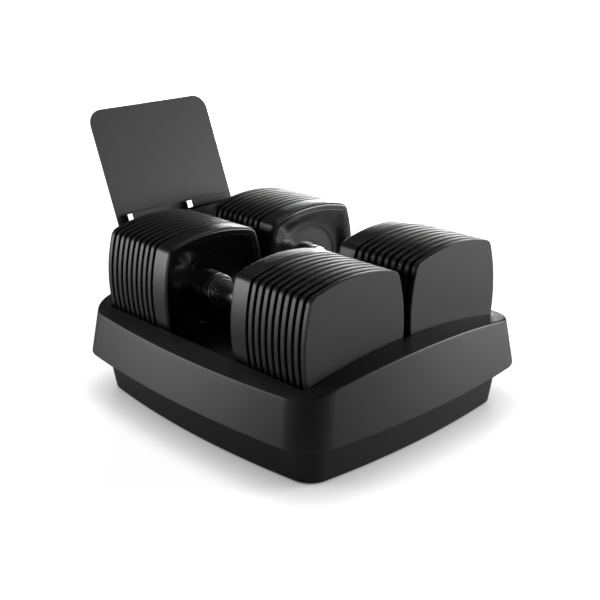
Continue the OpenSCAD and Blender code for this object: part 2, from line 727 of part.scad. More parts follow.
// ---- tablet stand
stand_y = mid_y - front_flare + 3.9;
stand_z = rim_height + rim_crown + 13.3;
foot_s = -9;                                   // bottom of the tongue
wide_s = 12;                                   // bottom of the wide plate
tongue_w = tablet_width*0.42;
hook_s = 69;                                   // underside of the hooks
module in_plate() {
  translate([0, stand_y, stand_z]) rotate([-tablet_lean, 0, 0]) children();
}
module slab(y0, y1) {
  translate([0, y1, 0]) rotate([90, 0, 0]) linear_extrude(height = y1 - y0)
    children();
}
hook_at = tablet_width*0.2555;
module tablet_plate() {
  t = tablet_thickness;
  top = wide_s + tablet_height;
  color([0.3, 0.3, 0.31]) in_plate() {
    slab(0, t) difference() {
      union() {
        translate([0, (wide_s + top)/2]) difference() {
          rbox(tablet_width, tablet_height, tablet_corner);
          translate([0, -tablet_height/2]) square([tablet_width + 2, 1], center = true);
        }
        translate([-tongue_w/2, foot_s]) square([tongue_w, wide_s - foot_s + 20]);
      }
      for (x = [-1, 1]) translate([x*hook_at - hook_width/2, hook_s]) square([hook_width, 12]);
    }
    // bent hooks under each window
    for (x = [-1, 1]) translate([x*hook_at - hook_width/2, 0, 0])
      rotate([90, 0, 90]) linear_extrude(height = hook_width) polygon(concat(
        [[eps, hook_s - 0.01]], [[eps, hook_s - t]],
        arc([-hook_depth + 4, hook_s + 4 - t], 4, 270, 180, 6),
        [[-hook_depth, hook_s + hook_lip], [-hook_depth + t, hook_s + hook_lip]],
        [[-hook_depth + t, hook_s + 1], [-hook_depth + t + 1, hook_s]]));
  }
}
module under_arch() {
  translate([0, mid_y + 60, 0]) rotate([90, 0, 0]) linear_extrude(height = 2*mid_y)
    polygon(concat([[-100, 0]], [for (i = [-20:20]) [i*5, arch(i*5) + 0.05]], [[100, 0]]));
}
bracket_w = tongue_w + 14;
bracket_front = stand_y - 34;
module at_bracket_screw(x) {
  translate([x*tongue_w*0.3, bracket_front + 9, arch(tongue_w*0.3) + 5]) children();
}
module tablet_bracket() {
  t = tablet_thickness;
  color([0.12, 0.12, 0.13]) difference() {
    union() {
      intersection() {
        translate([-bracket_w/2, bracket_front, rim_height]) cube([bracket_w, 30, 60]);
        translate([0, mid_y + 60, 5]) rotate([90, 0, 0]) linear_extrude(height = 2*mid_y)
          polygon(concat([[-100, 0]], [for (i = [-20:20]) [i*5, arch(i*5)]], [[100, 0]]));
      }
      in_plate() slab(-6, t + 3.4) translate([0, -6]) square([bracket_w, 32], center = true);
      in_plate() translate([0, 0, -22]) for (x = [-1, 0, 1])
        translate([x*(bracket_w/2 - 4) - 2, -22, 0]) cube([4, 20, 20]);
    }
    under_arch();
    in_plate() translate([-tongue_w/2 - 0.3, -0.3, foot_s - 0.3])
      cube([tongue_w + 0.6, t + 0.6, 60]);
    for (x = [-1, 1]) at_bracket_screw(x) {
      cylinder(r = 3.6, h = 30, $fn = 32);
      translate([0, 0, -20]) cylinder(r = 1.75, h = 30, $fn = 24);
    }
    in_plate() translate([0, 0, 10]) translate([-100, -40, 0]) cube([200, 100, 40]);
  }
}

difference() {
  tray_shell();
  for (x = [-1, 1]) at_bracket_screw(x) translate([0, 0, -20]) cylinder(r = 1.75, h = 30, $fn = 24);
}
tray_deck();
base_pan();
rubber_feet();
base_screws();
drive_motors();
control_board();
power_inlet();
console_pod();
display_window();
tablet_bracket();
selector_knob();
tablet_plate();
at_side(-1) front() spindle();  // spindle_a_front
at_side(-1) spindle();  // spindle_a_rear
at_side(1) front() spindle();  // spindle_b_front
at_side(1) spindle();  // spindle_b_rear

module handle_piece(s, what) {
  at_side(s) {
    if (what == "grip") color([0.35, 0.35, 0.36]) grip();
    if (what == "collars") color("black") both_ends() collar();
    if (what == "housing_front") front() housing();
    if (what == "housing_rear") housing();
    if (what == "dish_covers") color([0.03, 0.03, 0.03]) both_ends() dish();
    if (what == "cap_strips") color([0.2, 0.2, 0.2]) both_ends() cap_strip();
    if (what == "handle_screws") color("silver") both_ends() screws_handle();
    if (what == "lock_bar_front") front() lock_bar();
    if (what == "lock_bar_rear") lock_bar();
    if (what == "drive_shaft_front") front() drive_shaft();
    if (what == "drive_shaft_rear") drive_shaft();
  }
}
for (w = ["grip", "collars", "housing_front", "housing_rear", "dish_covers",
          "cap_strips", "handle_screws", "lock_bar_front", "lock_bar_rear",
          "drive_shaft_front", "drive_shaft_rear"]) {
  handle_piece(-1, w);
  handle_piece(1, w);
}
end_covers(-1);  // end_covers_a
end_covers(1);  // end_covers_b
for (k = [1:plate_count]) {
  plate(-1, k);
  plate(1, k);
}
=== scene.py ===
"""Looks of two plate-selecting dumbbells docked in a tray with a tablet stand."""

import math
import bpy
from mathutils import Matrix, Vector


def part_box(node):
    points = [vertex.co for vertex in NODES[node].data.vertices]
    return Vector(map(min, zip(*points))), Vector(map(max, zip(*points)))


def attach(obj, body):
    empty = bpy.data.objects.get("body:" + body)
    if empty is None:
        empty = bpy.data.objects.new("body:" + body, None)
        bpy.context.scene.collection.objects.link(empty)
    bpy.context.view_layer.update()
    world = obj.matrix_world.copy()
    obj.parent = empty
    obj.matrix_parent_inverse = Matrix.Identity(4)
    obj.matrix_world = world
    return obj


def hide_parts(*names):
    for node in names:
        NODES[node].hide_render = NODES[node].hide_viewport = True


bl_info = {
    "name": "Docked dumbbell pair",
    "version": (1, 0, 0),
    "blender": (4, 5, 0),
    "location": "View3D > Sidebar > Dumbbells",
    "description": "Builds the finished pieces of a docked pair of adjustable dumbbells",
    "category": "Object",
}

import bmesh
import bpy
import numpy as np
from bpy.props import FloatProperty, FloatVectorProperty, IntProperty, PointerProperty
from bpy.types import Operator, Panel, PropertyGroup
from mathutils import Matrix, Vector

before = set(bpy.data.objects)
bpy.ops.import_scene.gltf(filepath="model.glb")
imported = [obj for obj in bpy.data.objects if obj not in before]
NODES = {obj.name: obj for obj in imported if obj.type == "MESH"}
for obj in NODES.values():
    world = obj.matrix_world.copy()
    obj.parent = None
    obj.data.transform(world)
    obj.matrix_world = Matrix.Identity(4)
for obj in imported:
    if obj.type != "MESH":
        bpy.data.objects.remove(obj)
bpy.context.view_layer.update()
SIDES = ("a", "b")
PLATES = 9
MM = 0.001
SHARP = 38.0


def span(node, axis):
    """Lowest and highest place of a node along an axis, in millimetres."""
    low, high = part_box(node)
    return low[axis] / MM, high[axis] / MM


def size_of(node, axis):
    low, high = span(node, axis)
    return high - low


def middle_of(node, axis):
    low, high = span(node, axis)
    return (low + high) / 2


HEAD_WIDTH = size_of("plate_b_5", 0)
HEAD_HEIGHT = size_of("plate_b_5", 2)
AXIS_X = middle_of("plate_b_5", 0)
AXIS_Z = middle_of("plate_b_5", 2)
FACE_IN, FACE_OUT = span("housing_rear_b", 1)
DECK_TOP = span("console_pod", 2)[0]
BASE_LOW = span("base_pan", 2)[0]
SHELL_LOW, SHELL_HIGH = span("tray_shell", 2)


# ---- sizes and colours that a user may change


def mm(name, description, default, low, high):
    """A size in millimetres."""
    return FloatProperty(name=name, description=description + ", mm",
                         default=default, min=low, max=high)


def power(name, description, default):
    """A light's power in watts."""
    return FloatProperty(name=name, description=description, default=default,
                         min=0.0, max=900.0, subtype="POWER")


def colour(name, description, default):
    return FloatVectorProperty(name=name, description=description, default=default,
                               size=3, min=0.0, max=1.0, subtype="COLOR")


class DumbbellHeadSizes(PropertyGroup):
    side_radius: mm("Side bulge", "Radius of the bulged sides of a head", 229.0, 120.0, 400.0)
    top_radius: mm("Top bulge", "Radius of the bulged top and bottom", 247.0, 120.0, 400.0)
    corner: mm("Corner", "Radius of a head's rounded corners", 14.5, 6.0, 30.0)
    rim: mm("Rim", "Width of a plate's thick rim", 12.0, 6.0, 20.0)
    rim_round: mm("Rim rounding", "Radius on the rim's edges", 1.0, 0.3, 3.0)
    web: mm("Web", "Thickness of a plate inside its rim", 3.0, 1.0, 6.0)
    gap: mm("Gap", "Open groove between two rims", 4.8, 2.0, 8.0)
    boss: mm("Boss", "Diameter of the spacing boss", 52.0, 30.0, 70.0)
    cover_chamfer: mm("Cover chamfer", "Chamfer round the end cover", 0.8, 0.2, 1.5)


class DumbbellHandleSizes(PropertyGroup):
    bezel: mm("Bezel", "Width of the face outside the dish", 9.5, 6.0, 12.0)
    bezel_round: mm("Bezel rounding", "Radius on the bezel's outer edge", 2.9, 0.5, 4.0)
    dish_floor: mm("Dish floor", "Diameter of the dish's floor", 107.0, 80.0, 120.0)
    dish_depth: mm("Dish depth", "Depth of the dish", 8.5, 4.0, 10.0)
    collar: mm("Collar", "Outer diameter of the collar ring", 48.0, 40.0, 60.0)
    collar_reach: mm("Collar reach", "How far the collar stands out", 11.0, 6.0, 14.0)
    grip: mm("Grip", "Largest diameter of the grip", 33.0, 26.0, 40.0)
    grip_barrel: mm("Barrel", "Loss of diameter toward the grip's ends", 1.6, 0.0, 3.0)
    knurl_count: IntProperty(
        name="Knurls", description="Diamonds round the grip",
        default=46, min=16, max=80)
    knurl_depth: mm("Knurl depth", "Depth of the knurling", 0.34, 0.05, 0.8)
    cap_length: mm("Cap length", "Length of the inlaid cap strip", 86.0, 60.0, 110.0)
    cap_width: mm("Cap width", "Width of the inlaid cap strip", 22.0, 14.0, 28.0)


class DumbbellTraySizes(PropertyGroup):
    side_bow: mm("Side bow", "Bow of the sides in plan", 18.8, 0.0, 30.0)
    front_bow: mm("Front bow", "Bow of the front and back in plan", 19.4, 0.0, 30.0)
    side_flare: mm("Side flare", "Outward flare of the sides", 15.5, 0.0, 25.0)
    front_flare: mm("Front flare", "Outward flare of the front", 10.3, 0.0, 20.0)
    corner: mm("Shell corner", "Corner radius of the shell in plan", 41.0, 20.0, 60.0)
    crown: mm("Ledge crown", "Rise of the ledge to its middle", 26.7, 0.0, 40.0)
    ledge_side: mm("Side ledge", "Width of the ledge at the sides", 33.6, 20.0, 50.0)
    ledge_front: mm("Front ledge", "Width of the ledge at the front", 40.8, 20.0, 60.0)
    wall: mm("Wall", "Wall of the upper shell", 3.0, 2.0, 4.0)
    base_inset_side: mm("Base inset, side", "Inset of the base at the sides", 29.7, 10.0, 40.0)
    base_inset_front: mm("Base inset, front", "Inset of the base in front", 25.4, 10.0, 40.0)
    base_taper: mm("Base taper", "Outward taper of the base", 8.0, 0.0, 15.0)
    base_corner: mm("Base corner", "Corner radius of the base in plan", 24.0, 10.0, 40.0)


class DumbbellStandSizes(PropertyGroup):
    lean: FloatProperty(
        name="Lean", description="Backward lean of the tablet plate",
        default=math.radians(21.5), min=0.0, max=0.8, subtype="ANGLE")
    corner: mm("Plate corner", "Corner radius of the tablet plate", 24.0, 5.0, 40.0)
    height: mm("Plate height", "Height above the plate's foot", 239.0, 150.0, 300.0)
    hook_width: mm("Hook width", "Width of a tablet hook", 72.0, 40.0, 90.0)
    hook_lip: mm("Hook lip", "Height of a hook's lip", 11.6, 8.0, 22.0)


class DumbbellColours(PropertyGroup):
    shell: colour("Shell", "Upper shell", (0.02, 0.02, 0.0205))
    base: colour("Base", "Lower base and deck", (0.0045, 0.0045, 0.0047))
    plate: colour("Plates", "Plate coat", (0.014, 0.014, 0.0145))
    cover: colour("End covers", "End covers", (0.0145, 0.0145, 0.0149))
    housing: colour("Housings", "Lock housings", (0.014, 0.014, 0.0145))
    dish: colour("Dishes", "Dished covers", (0.004, 0.004, 0.0042))
    grip: colour("Grip", "Grip and collars", (0.56, 0.56, 0.565))
    stand: colour("Stand", "Tablet stand", (0.026, 0.026, 0.0265))
    marks: colour("Marks", "Marks on plates and knob", (0.09, 0.09, 0.092))


class DumbbellStudio(PropertyGroup):
    lens: mm("Lens", "Focal length of the camera", 63.8, 20.0, 200.0)
    key_power: power("Key light", "Power of the right soft light", 98.0)
    fill_power: power("Fill light", "Power of the left soft light", 46.0)
    rim_power: power("Rim light", "Power of the low light behind", 60.0)
    top_power: power("Top light", "Power of the overhead soft light", 6.0)
    paper_glow: FloatProperty(
        name="Paper glow", description="How much the paper lights itself for the camera",
        default=0.84, min=0.0, max=1.0)


# ---- shader node groups


def new_group(name, inputs, outputs):
    """An empty shader group; inputs are (name, default), outputs (name, kind)."""
    group = bpy.data.node_groups.new(name, "ShaderNodeTree")
    for label, default in inputs:
        made = group.interface.new_socket(
            name=label, in_out="INPUT", socket_type="NodeSocketFloat")
        made.default_value = default
    for label, kind in outputs:
        group.interface.new_socket(name=label, in_out="OUTPUT", socket_type=kind)
    start = group.nodes.new("NodeGroupInput")
    end = group.nodes.new("NodeGroupOutput")
    return group, start, end


def add(tree, kind, links=None, **values):
    """A node with values on its inputs or attributes, and links to its inputs."""
    node = tree.nodes.new(kind)
    for key, value in values.items():
        setattr(node, key, value)
    for key, source in (links or {}).items():
        if isinstance(source, bpy.types.NodeSocket):
            tree.links.new(source, node.inputs[key])
        else:
            node.inputs[key].default_value = source
    return node


def maths(tree, operation, a, b=0.0):
    return add(tree, "ShaderNodeMath", {0: a, 1: b}, operation=operation).outputs[0]


def object_place(tree):
    return add(tree, "ShaderNodeTexCoord").outputs["Object"]


def noise(tree, place, scale, detail, rough=0.5, twist=0.0):
    return add(tree, "ShaderNodeTexNoise",
               {"Vector": place, "Scale": scale, "Detail": detail,
                "Roughness": rough, "Distortion": twist}).outputs["Fac"]


def remap(tree, value, low, high, to_low=0.0, to_high=1.0):
    return add(tree, "ShaderNodeMapRange",
               {"Value": value, "From Min": low, "From Max": high,
                "To Min": to_low, "To Max": to_high}).outputs[0]


def grain_group():
    """Fine moulded texture. Cells are per metre; Height feeds a Bump."""
    group, start, end = new_group(
        "Moulded grain", [("Cells", 900.0), ("Speck", 0.5)],
        [("Height", "NodeSocketFloat"), ("Fleck", "NodeSocketFloat")])
    place = object_place(group)
    cells = add(group, "ShaderNodeTexVoronoi",
                {"Vector": place, "Scale": start.outputs["Cells"]})
    finer = maths(group, "MULTIPLY", start.outputs["Cells"], 1.7)
    fine = noise(group, place, finer, 3.0, 0.6)
    rough = maths(group, "MULTIPLY", fine, start.outputs["Speck"])
    height = maths(group, "ADD", cells.outputs["Distance"], rough)
    group.links.new(height, end.inputs["Height"])
    group.links.new(fine, end.inputs["Fleck"])
    return group


def edge_wear_and_highlight_group():
    """Mask of the edges that hands and tools rub bright, and of edges given a painted
    highlight, such as the light line along the end covers' chamfer; broken up by noise.
    """
    group, start, end = new_group(
        "Edge wear", [("Reach", 0.0012), ("Amount", 1.0), ("Breakup", 0.35)],
        [("Mask", "NodeSocketFloat")])
    round_edge = add(group, "ShaderNodeBevel", {"Radius": start.outputs["Reach"]},
                     samples=4)
    geometry = add(group, "ShaderNodeNewGeometry")
    along = add(group, "ShaderNodeVectorMath",
                {0: round_edge.outputs[0], 1: geometry.outputs["Normal"]},
                operation="DOT_PRODUCT").outputs["Value"]
    bend = maths(group, "SUBTRACT", 1.0, along)
    edge = remap(group, bend, 0.015, 0.16)
    patches = remap(group, noise(group, object_place(group), 70.0, 4.0), 0.35, 0.6)
    kept = maths(group, "SUBTRACT", 1.0, start.outputs["Breakup"])
    patches = maths(group, "ADD", kept,
                    maths(group, "MULTIPLY", patches, start.outputs["Breakup"]))
    mask = maths(group, "MULTIPLY", maths(group, "MULTIPLY", edge, patches),
                 start.outputs["Amount"])
    group.links.new(mask, end.inputs["Mask"])
    return group


def handling_group():
    """Slow change of tone and gloss where a surface is handled and dusted."""
    group, start, end = new_group(
        "Handling", [("Size", 9.0), ("Tone", 0.12), ("Gloss", 0.08), ("Dust", 0.1)],
        [("Tone", "NodeSocketFloat"), ("Roughness", "NodeSocketFloat"),
         ("Dust", "NodeSocketFloat")])
    place = object_place(group)
    broad = noise(group, place, start.outputs["Size"], 5.0, 0.55)
    finer = maths(group, "MULTIPLY", start.outputs["Size"], 5.3)
    smear = noise(group, place, finer, 6.0, 0.7, 0.6)
    tone = maths(group, "ADD", 1.0, maths(
        group, "MULTIPLY", maths(group, "SUBTRACT", broad, 0.5), start.outputs["Tone"]))
    gloss = maths(group, "MULTIPLY", maths(group, "SUBTRACT", smear, 0.5),
                  start.outputs["Gloss"])
    facing = add(group, "ShaderNodeSeparateXYZ",
                 {0: add(group, "ShaderNodeNewGeometry").outputs["Normal"]})
    upward = maths(group, "MAXIMUM", facing.outputs["Z"], 0.0)
    specks = remap(group, smear, 0.5, 0.75)
    dust = maths(group, "MULTIPLY", maths(group, "MULTIPLY", upward, specks),
                 start.outputs["Dust"])
    group.links.new(tone, end.inputs["Tone"])
    group.links.new(gloss, end.inputs["Roughness"])
    group.links.new(dust, end.inputs["Dust"])
    return group


def turned_group():
    """Fine lines left by turning or brushing along Y. Height feeds a Bump."""
    group, start, end = new_group(
        "Turned lines", [("Lines", 2600.0), ("Stretch", 0.03)],
        [("Height", "NodeSocketFloat"), ("Streak", "NodeSocketFloat")])
    stretch = start.outputs["Stretch"]
    along = add(group, "ShaderNodeCombineXYZ", {"X": stretch, "Y": 1.0, "Z": stretch})
    squeezed = add(group, "ShaderNodeVectorMath",
                   {0: object_place(group), 1: along.outputs[0]}, operation="MULTIPLY")
    lines = noise(group, squeezed.outputs[0], start.outputs["Lines"], 3.0, 0.7)
    group.links.new(lines, end.inputs["Height"])
    group.links.new(lines, end.inputs["Streak"])
    return group


GROUPS = {"Moulded grain": grain_group, "Edge wear": edge_wear_and_highlight_group,
          "Handling": handling_group, "Turned lines": turned_group}


def group_node(tree, name, **inputs):
    made = bpy.data.node_groups.get(name) or GROUPS[name]()
    node = add(tree, "ShaderNodeGroup", node_tree=made)
    for key, value in inputs.items():
        node.inputs[key].default_value = value
    return node


# colour name or colour, roughness, cells of grain or turned lines a metre, depth of the
# relief in mm, tone of bright edges (worn edges, and on the end covers a painted highlight),
# reach of the wear and highlight in metres, their amount, dust, change of tone
FINISHES = {
    "shell_plastic": ("shell", 0.42, 1500, 0.035, 0.1, 0.0016, 0.7, 0.03, 0.16),
    "base_plastic": ("base", 0.5, 1100, 0.05, 0.05, 0.0015, 0.6, 0.05, 0.2),
    "deck_plastic": ("base", 0.55, 1000, 0.05, 0.045, 0.001, 0.6, 0.06, 0.2),
    "plate_coat": ("plate", 0.4, 1900, 0.03, 0.075, 0.0013, 0.55, 0.02, 0.2),
    # the end covers' bright, full-strength edge tone is a painted highlight along their chamfer
    "cover_plastic": ("cover", 0.52, 1500, 0.05, 0.34, 0.0009, 1.0, 0.02, 0.12),
    "housing_plastic": ("housing", 0.36, 2100, 0.02, 0.06, 0.0012, 0.5, 0.02, 0.16),
    "dish_plastic": ("dish", 0.17, 300, 0.01, 0.04, 0.0008, 0.4, 0.01, 0.2),
    "foot_rubber": ((0.012, 0.012, 0.012), 0.78, 700, 0.08, 0.03, 0.001, 0.5, 0.2, 0.3),
    "inlet_plastic": ((0.01, 0.01, 0.011), 0.4, 2500, 0.02, 0.04, 0.0005, 0.5, 0.02, 0.2),
    "tablet_metal": ("stand", 0.5, 2600, 0.03, 0.12, 0.0009, 0.8, 0.02, 0.1),
    "board": ((0.012, 0.07, 0.035), 0.35, 260, 0.05, 0.3, 0.0004, 1.0, 0.02, 0.5),
    "motor_metal": ((0.24, 0.24, 0.25), 0.34, 900, 0.03, 0.6, 0.0008, 0.6, 0.05, 0.2),
    "collar_metal": ((0.58, 0.58, 0.585), 0.22, 3200, 0.01, 0.4, 0.0006, 0.8, 0.0, 0.1),
    "grip_steel": ("grip", 0.3, 1500, 0.015, 0.35, 0.0004, 0.9, 0.0, 0.2),
    "lock_steel": ((0.42, 0.42, 0.43), 0.27, 2000, 0.02, 0.7, 0.0004, 0.7, 0.0, 0.2),
    "spindle_brass": ((0.6, 0.42, 0.17), 0.28, 2000, 0.02, 0.75, 0.0004, 0.6, 0.0, 0.2),
    "screw_steel": ((0.2, 0.2, 0.21), 0.28, 3000, 0.01, 0.6, 0.0003, 0.9, 0.0, 0.2),
    "knob_metal": ((0.3, 0.3, 0.31), 0.24, 2600, 0.01, 0.6, 0.0004, 0.8, 0.0, 0.1),
    "display_glass": (
        (0.004, 0.004, 0.005), 0.06, 60, 0.002, 0.02, 0.0004, 0.3, 0.015, 0.1),
    "mark_paint": ("marks", 0.5, 1800, 0.02, 0.5, 0.0003, 0.3, 0.02, 0.15),
}
METALS = {"motor_metal", "collar_metal", "grip_steel", "lock_steel",
          "spindle_brass", "screw_steel", "knob_metal"}
COATS = {"dish_plastic": 0.6, "display_glass": 1.0}
DUST = (0.3, 0.29, 0.28, 1.0)


def finish(name):
    """The material of that name, built the first time it is asked for."""
    made = bpy.data.materials.get("finish_" + name)
    if made:
        return made
    (shade, rough, density, relief_depth, bright, reach, amount, dust,
     tone) = FINISHES[name]
    if isinstance(shade, str):
        shade = tuple(getattr(bpy.context.scene.dumbbell_colours, shade))
    material = bpy.data.materials.new("finish_" + name)
    material.use_nodes = True
    material.diffuse_color = (*shade, 1.0)
    tree = material.node_tree
    tree.nodes.clear()
    shader = add(tree, "ShaderNodeBsdfPrincipled",
                 {"Metallic": float(name in METALS), "IOR": 1.5,
                  "Coat Weight": COATS.get(name, 0.0), "Coat Roughness": 0.08})
    add(tree, "ShaderNodeOutputMaterial", {"Surface": shader.outputs[0]})

    def blended(mask, under, over):
        node = add(tree, "ShaderNodeMix", {"Factor": mask}, data_type="RGBA")
        tree.links.new(under, node.inputs["A"])
        node.inputs["B"].default_value = over
        return node.outputs["Result"]
    handling = group_node(tree, "Handling", Tone=tone, Gloss=0.1, Dust=dust)
    toned = add(tree, "ShaderNodeVectorMath",
                {0: shade, "Scale": handling.outputs["Tone"]}, operation="SCALE")
    # edges made bright by wear, and on the end covers by a painted highlight along the chamfer
    wear_and_painted_highlight = group_node(tree, "Edge wear", Reach=reach, Amount=amount, Breakup=0.3)
    worn_and_highlit = blended(wear_and_painted_highlight.outputs["Mask"], toned.outputs[0],
                   (bright, bright, bright * 1.02, 1.0))
    dusted = blended(handling.outputs["Dust"], worn_and_highlit, DUST)
    tree.links.new(dusted, shader.inputs["Base Color"])

    rough = maths(tree, "ADD", rough, handling.outputs["Roughness"])
    if name in METALS:
        relief = group_node(tree, "Turned lines", Lines=density)
        spread = maths(tree, "MULTIPLY", relief.outputs["Streak"], 0.12)
    else:
        relief = group_node(tree, "Moulded grain", Cells=density, Speck=0.6)
        spread = maths(tree, "MULTIPLY", relief.outputs["Fleck"], 0.06)
    tree.links.new(maths(tree, "ADD", rough, spread), shader.inputs["Roughness"])
    bump = add(tree, "ShaderNodeBump",
               {"Height": relief.outputs["Height"], "Strength": 0.8,
                "Distance": relief_depth * MM})
    tree.links.new(bump.outputs[0], shader.inputs["Normal"])
    return material


# ---- building meshes out of rings of points, in millimetres


def clean(mesh, apart, angle=SHARP, outward=False):
    """Joins points less than apart metres apart and sets the mesh's shading."""
    work = bmesh.new()
    work.from_mesh(mesh)
    bmesh.ops.remove_doubles(work, verts=work.verts, dist=apart)
    if outward:
        bmesh.ops.recalc_face_normals(work, faces=work.faces)
    work.to_mesh(mesh)
    work.free()
    mesh.polygons.foreach_set("use_smooth", [True] * len(mesh.polygons))
    mesh.set_sharp_from_angle(angle=math.radians(angle))


class Shape:
    """Collects one piece's points and faces."""

    def __init__(self):
        self.points, self.faces, self.slots, self.count = [], [], [], 0

    def add(self, points, faces, slot=0):
        self.points.append(np.asarray(points, float))
        self.faces += [[self.count + i for i in face] for face in faces]
        self.slots += [slot] * len(faces)
        self.count += len(points)

    def loft(self, rings, closed=False, slot=0, place=None):
        """Joins rings of equal length; open lofts get a cap at each end."""
        n, m = len(rings[0]), len(rings)
        points = np.concatenate([np.asarray(r, float) for r in rings])
        if place:
            points = place(points)
        faces = []
        for j in range(m if closed else m - 1):
            k = (j + 1) % m
            faces += [[j * n + i, j * n + (i + 1) % n, k * n + (i + 1) % n, k * n + i]
                      for i in range(n)]
        if not closed:
            faces += [list(range(n))[::-1], [(m - 1) * n + i for i in range(n)]]
        self.add(points, faces, slot)

    def mesh(self, name, angle=SHARP):
        made = bpy.data.meshes.new(name)
        made.from_pydata((np.concatenate(self.points) * MM).tolist(), [], self.faces)
        made.polygons.foreach_set("material_index", self.slots)
        clean(made, 1e-6, angle, outward=True)
        return made


def piece(shape, name, body, finishes, stands_for=None, angle=SHARP, weighted=True):
    """Makes a shape an object that rides on a body and may stand for a CAD node."""
    mesh = shape.mesh(name, angle) if isinstance(shape, Shape) else shape
    mesh.name = name
    made = bpy.data.objects.new(name, mesh)
    bpy.context.scene.collection.objects.link(made)
    for label in finishes:
        mesh.materials.append(finish(label))
    if weighted:
        even = made.modifiers.new("even_shading", "WEIGHTED_NORMAL")
        even.keep_sharp = True
        even.weight = 60
    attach(made, body)
    if stands_for:
        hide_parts(stands_for)


def cut(mesh, cutter_shape):
    """A copy of the mesh with the cutter's space taken out of it."""
    part = bpy.data.objects.new("cut_part", mesh)
    tool = bpy.data.objects.new("cut_tool", cutter_shape.mesh("cut_tool"))
    for o in (part, tool):
        bpy.context.scene.collection.objects.link(o)
    step = part.modifiers.new("cut", "BOOLEAN")
    step.operation, step.object, step.solver = "DIFFERENCE", tool, "EXACT"
    graph = bpy.context.evaluated_depsgraph_get()
    graph.update()
    made = bpy.data.meshes.new_from_object(part.evaluated_get(graph))
    for o in (part, tool):
        old = o.data
        bpy.data.objects.remove(o)
        bpy.data.meshes.remove(old)
    clean(made, 2e-6)
    return made


def arc_points(centre, radius, start, end, count, first=0):
    """Points of an arc between two directions in degrees."""
    steps = np.arange(first, count + 1) / count
    turn = np.radians(start + (end - start) * steps)
    return np.stack([centre[0] + radius * np.cos(turn),
                     centre[1] + radius * np.sin(turn)], 1)


def head_outline(offset=0.0, counts=(9, 7, 9)):
    """Bulged outline of a head, moved outward by offset, seen from the front."""
    head = bpy.context.scene.dumbbell_head
    half_w, half_h = HEAD_WIDTH / 2 + offset, HEAD_HEIGHT / 2 + offset
    side, top = head.side_radius + offset, head.top_radius + offset
    corner = max(head.corner + offset, 1.0)
    c1, c2 = np.array([half_w - side, 0.0]), np.array([0.0, half_h - top])
    r1, r2 = side - corner, top - corner
    apart = np.linalg.norm(c2 - c1)
    unit = (c2 - c1) / apart
    along = (r1 * r1 - r2 * r2 + apart * apart) / (2 * apart)
    away = math.sqrt(max(r1 * r1 - along * along, 0))
    found = [c1 + along * unit + s * away * np.array([unit[1], -unit[0]])
             for s in (1, -1)]
    c = max(found, key=lambda p: p.sum())
    t1 = math.degrees(math.atan2(*(c - c1)[::-1]))
    t2 = math.degrees(math.atan2(*(c - c2)[::-1]))
    quarter = np.concatenate([
        arc_points(c1, side, 0, t1, counts[0]),
        arc_points(c, corner, t1, t2, counts[1], 1),
        arc_points(c2, top, t2, 90, counts[2], 1)])
    return np.concatenate([
        quarter, quarter[-2::-1] * (-1, 1), quarter[1:] * (-1, -1),
        quarter[-2:0:-1] * (1, -1)])


def ring_turns():
    """Direction of each outline point from the head's axis, in radians."""
    flat = head_outline()
    return np.arctan2(flat[:, 1], flat[:, 0])


def circle_flat(radius):
    """A circle sampled in the same directions as the outline's points."""
    turns = ring_turns()
    return radius * np.stack([np.cos(turns), np.sin(turns)], 1)


def oblong_flat(x0, x1, half_z, grow=0.0):
    """A rectangle sampled in the same directions as the outline's points."""
    turns = ring_turns()
    cx, hw, hz = (x0 + x1) / 2, (x1 - x0) / 2 + grow, half_z + grow
    reach = np.minimum(hw / np.maximum(np.abs(np.cos(turns)), 1e-9),
                       hz / np.maximum(np.abs(np.sin(turns)), 1e-9))
    return np.stack([cx + reach * np.cos(turns), reach * np.sin(turns)], 1)


def upright(flat, y):
    """Puts a flat ring across the dumbbell's axis at y."""
    return np.stack([flat[:, 0], np.broadcast_to(y, len(flat)), flat[:, 1]], 1)


def level(flat, z):
    """Puts a flat ring level at height z, which may differ point by point."""
    return np.stack([flat[:, 0], flat[:, 1], np.broadcast_to(z, len(flat))], 1)


def full_turn(count):
    return np.linspace(0, 2 * math.pi, count, endpoint=False)


def merged(meshes, name):
    """One mesh out of several."""
    work = bmesh.new()
    for mesh in meshes:
        work.from_mesh(mesh)
    made = bpy.data.meshes.new(name)
    work.to_mesh(made)
    work.free()
    made.set_sharp_from_angle(angle=math.radians(SHARP))
    return made


def placed(side, front):
    """Moves points from a head's own frame to side a or b and its end."""
    centre = AXIS_X if side == "b" else -AXIS_X
    turn = -1.0 if front else 1.0

    def move(points):
        return np.asarray(points) * (turn, turn, 1.0) + (centre, 0.0, AXIS_Z)
    return move


def top_height(x, offset=0.0):
    """Height of the head's top above its axis, at x."""
    radius = bpy.context.scene.dumbbell_head.top_radius + offset
    return HEAD_HEIGHT / 2 + offset - radius + np.sqrt(radius ** 2 - np.square(x))


def rounding(radius, count=4):
    """(inset, depth) pairs of a rounded edge, from its face to its side."""
    turns = np.radians(np.linspace(0, 90, count + 1))
    return [(radius * (1 - math.sin(t)), radius * (1 - math.cos(t))) for t in turns]


def bezier(a, b, c, count):
    steps = np.linspace(0, 1, count + 1)
    return [(1 - t) ** 2 * a + 2 * t * (1 - t) * b + t * t * c for t in steps]


def lathe(shape, profile, count, place):
    """Turns (radius, y) pairs about the dumbbell's axis."""
    round_flat = arc_points((0, 0), 1.0, 0, 360, count)[:-1]
    shape.loft([upright(round_flat * r, y) for r, y in profile], closed=True, place=place)


def upright_lathe(shape, profile, centre, count, closed=False, place=None):
    """Turns (radius, z) pairs about a vertical axis at centre."""
    round_flat = arc_points((0, 0), 1.0, 0, 360, count)[:-1]
    shape.loft([level(round_flat * r + centre, z) for r, z in profile],
               closed=closed, place=place)


# ---- heads


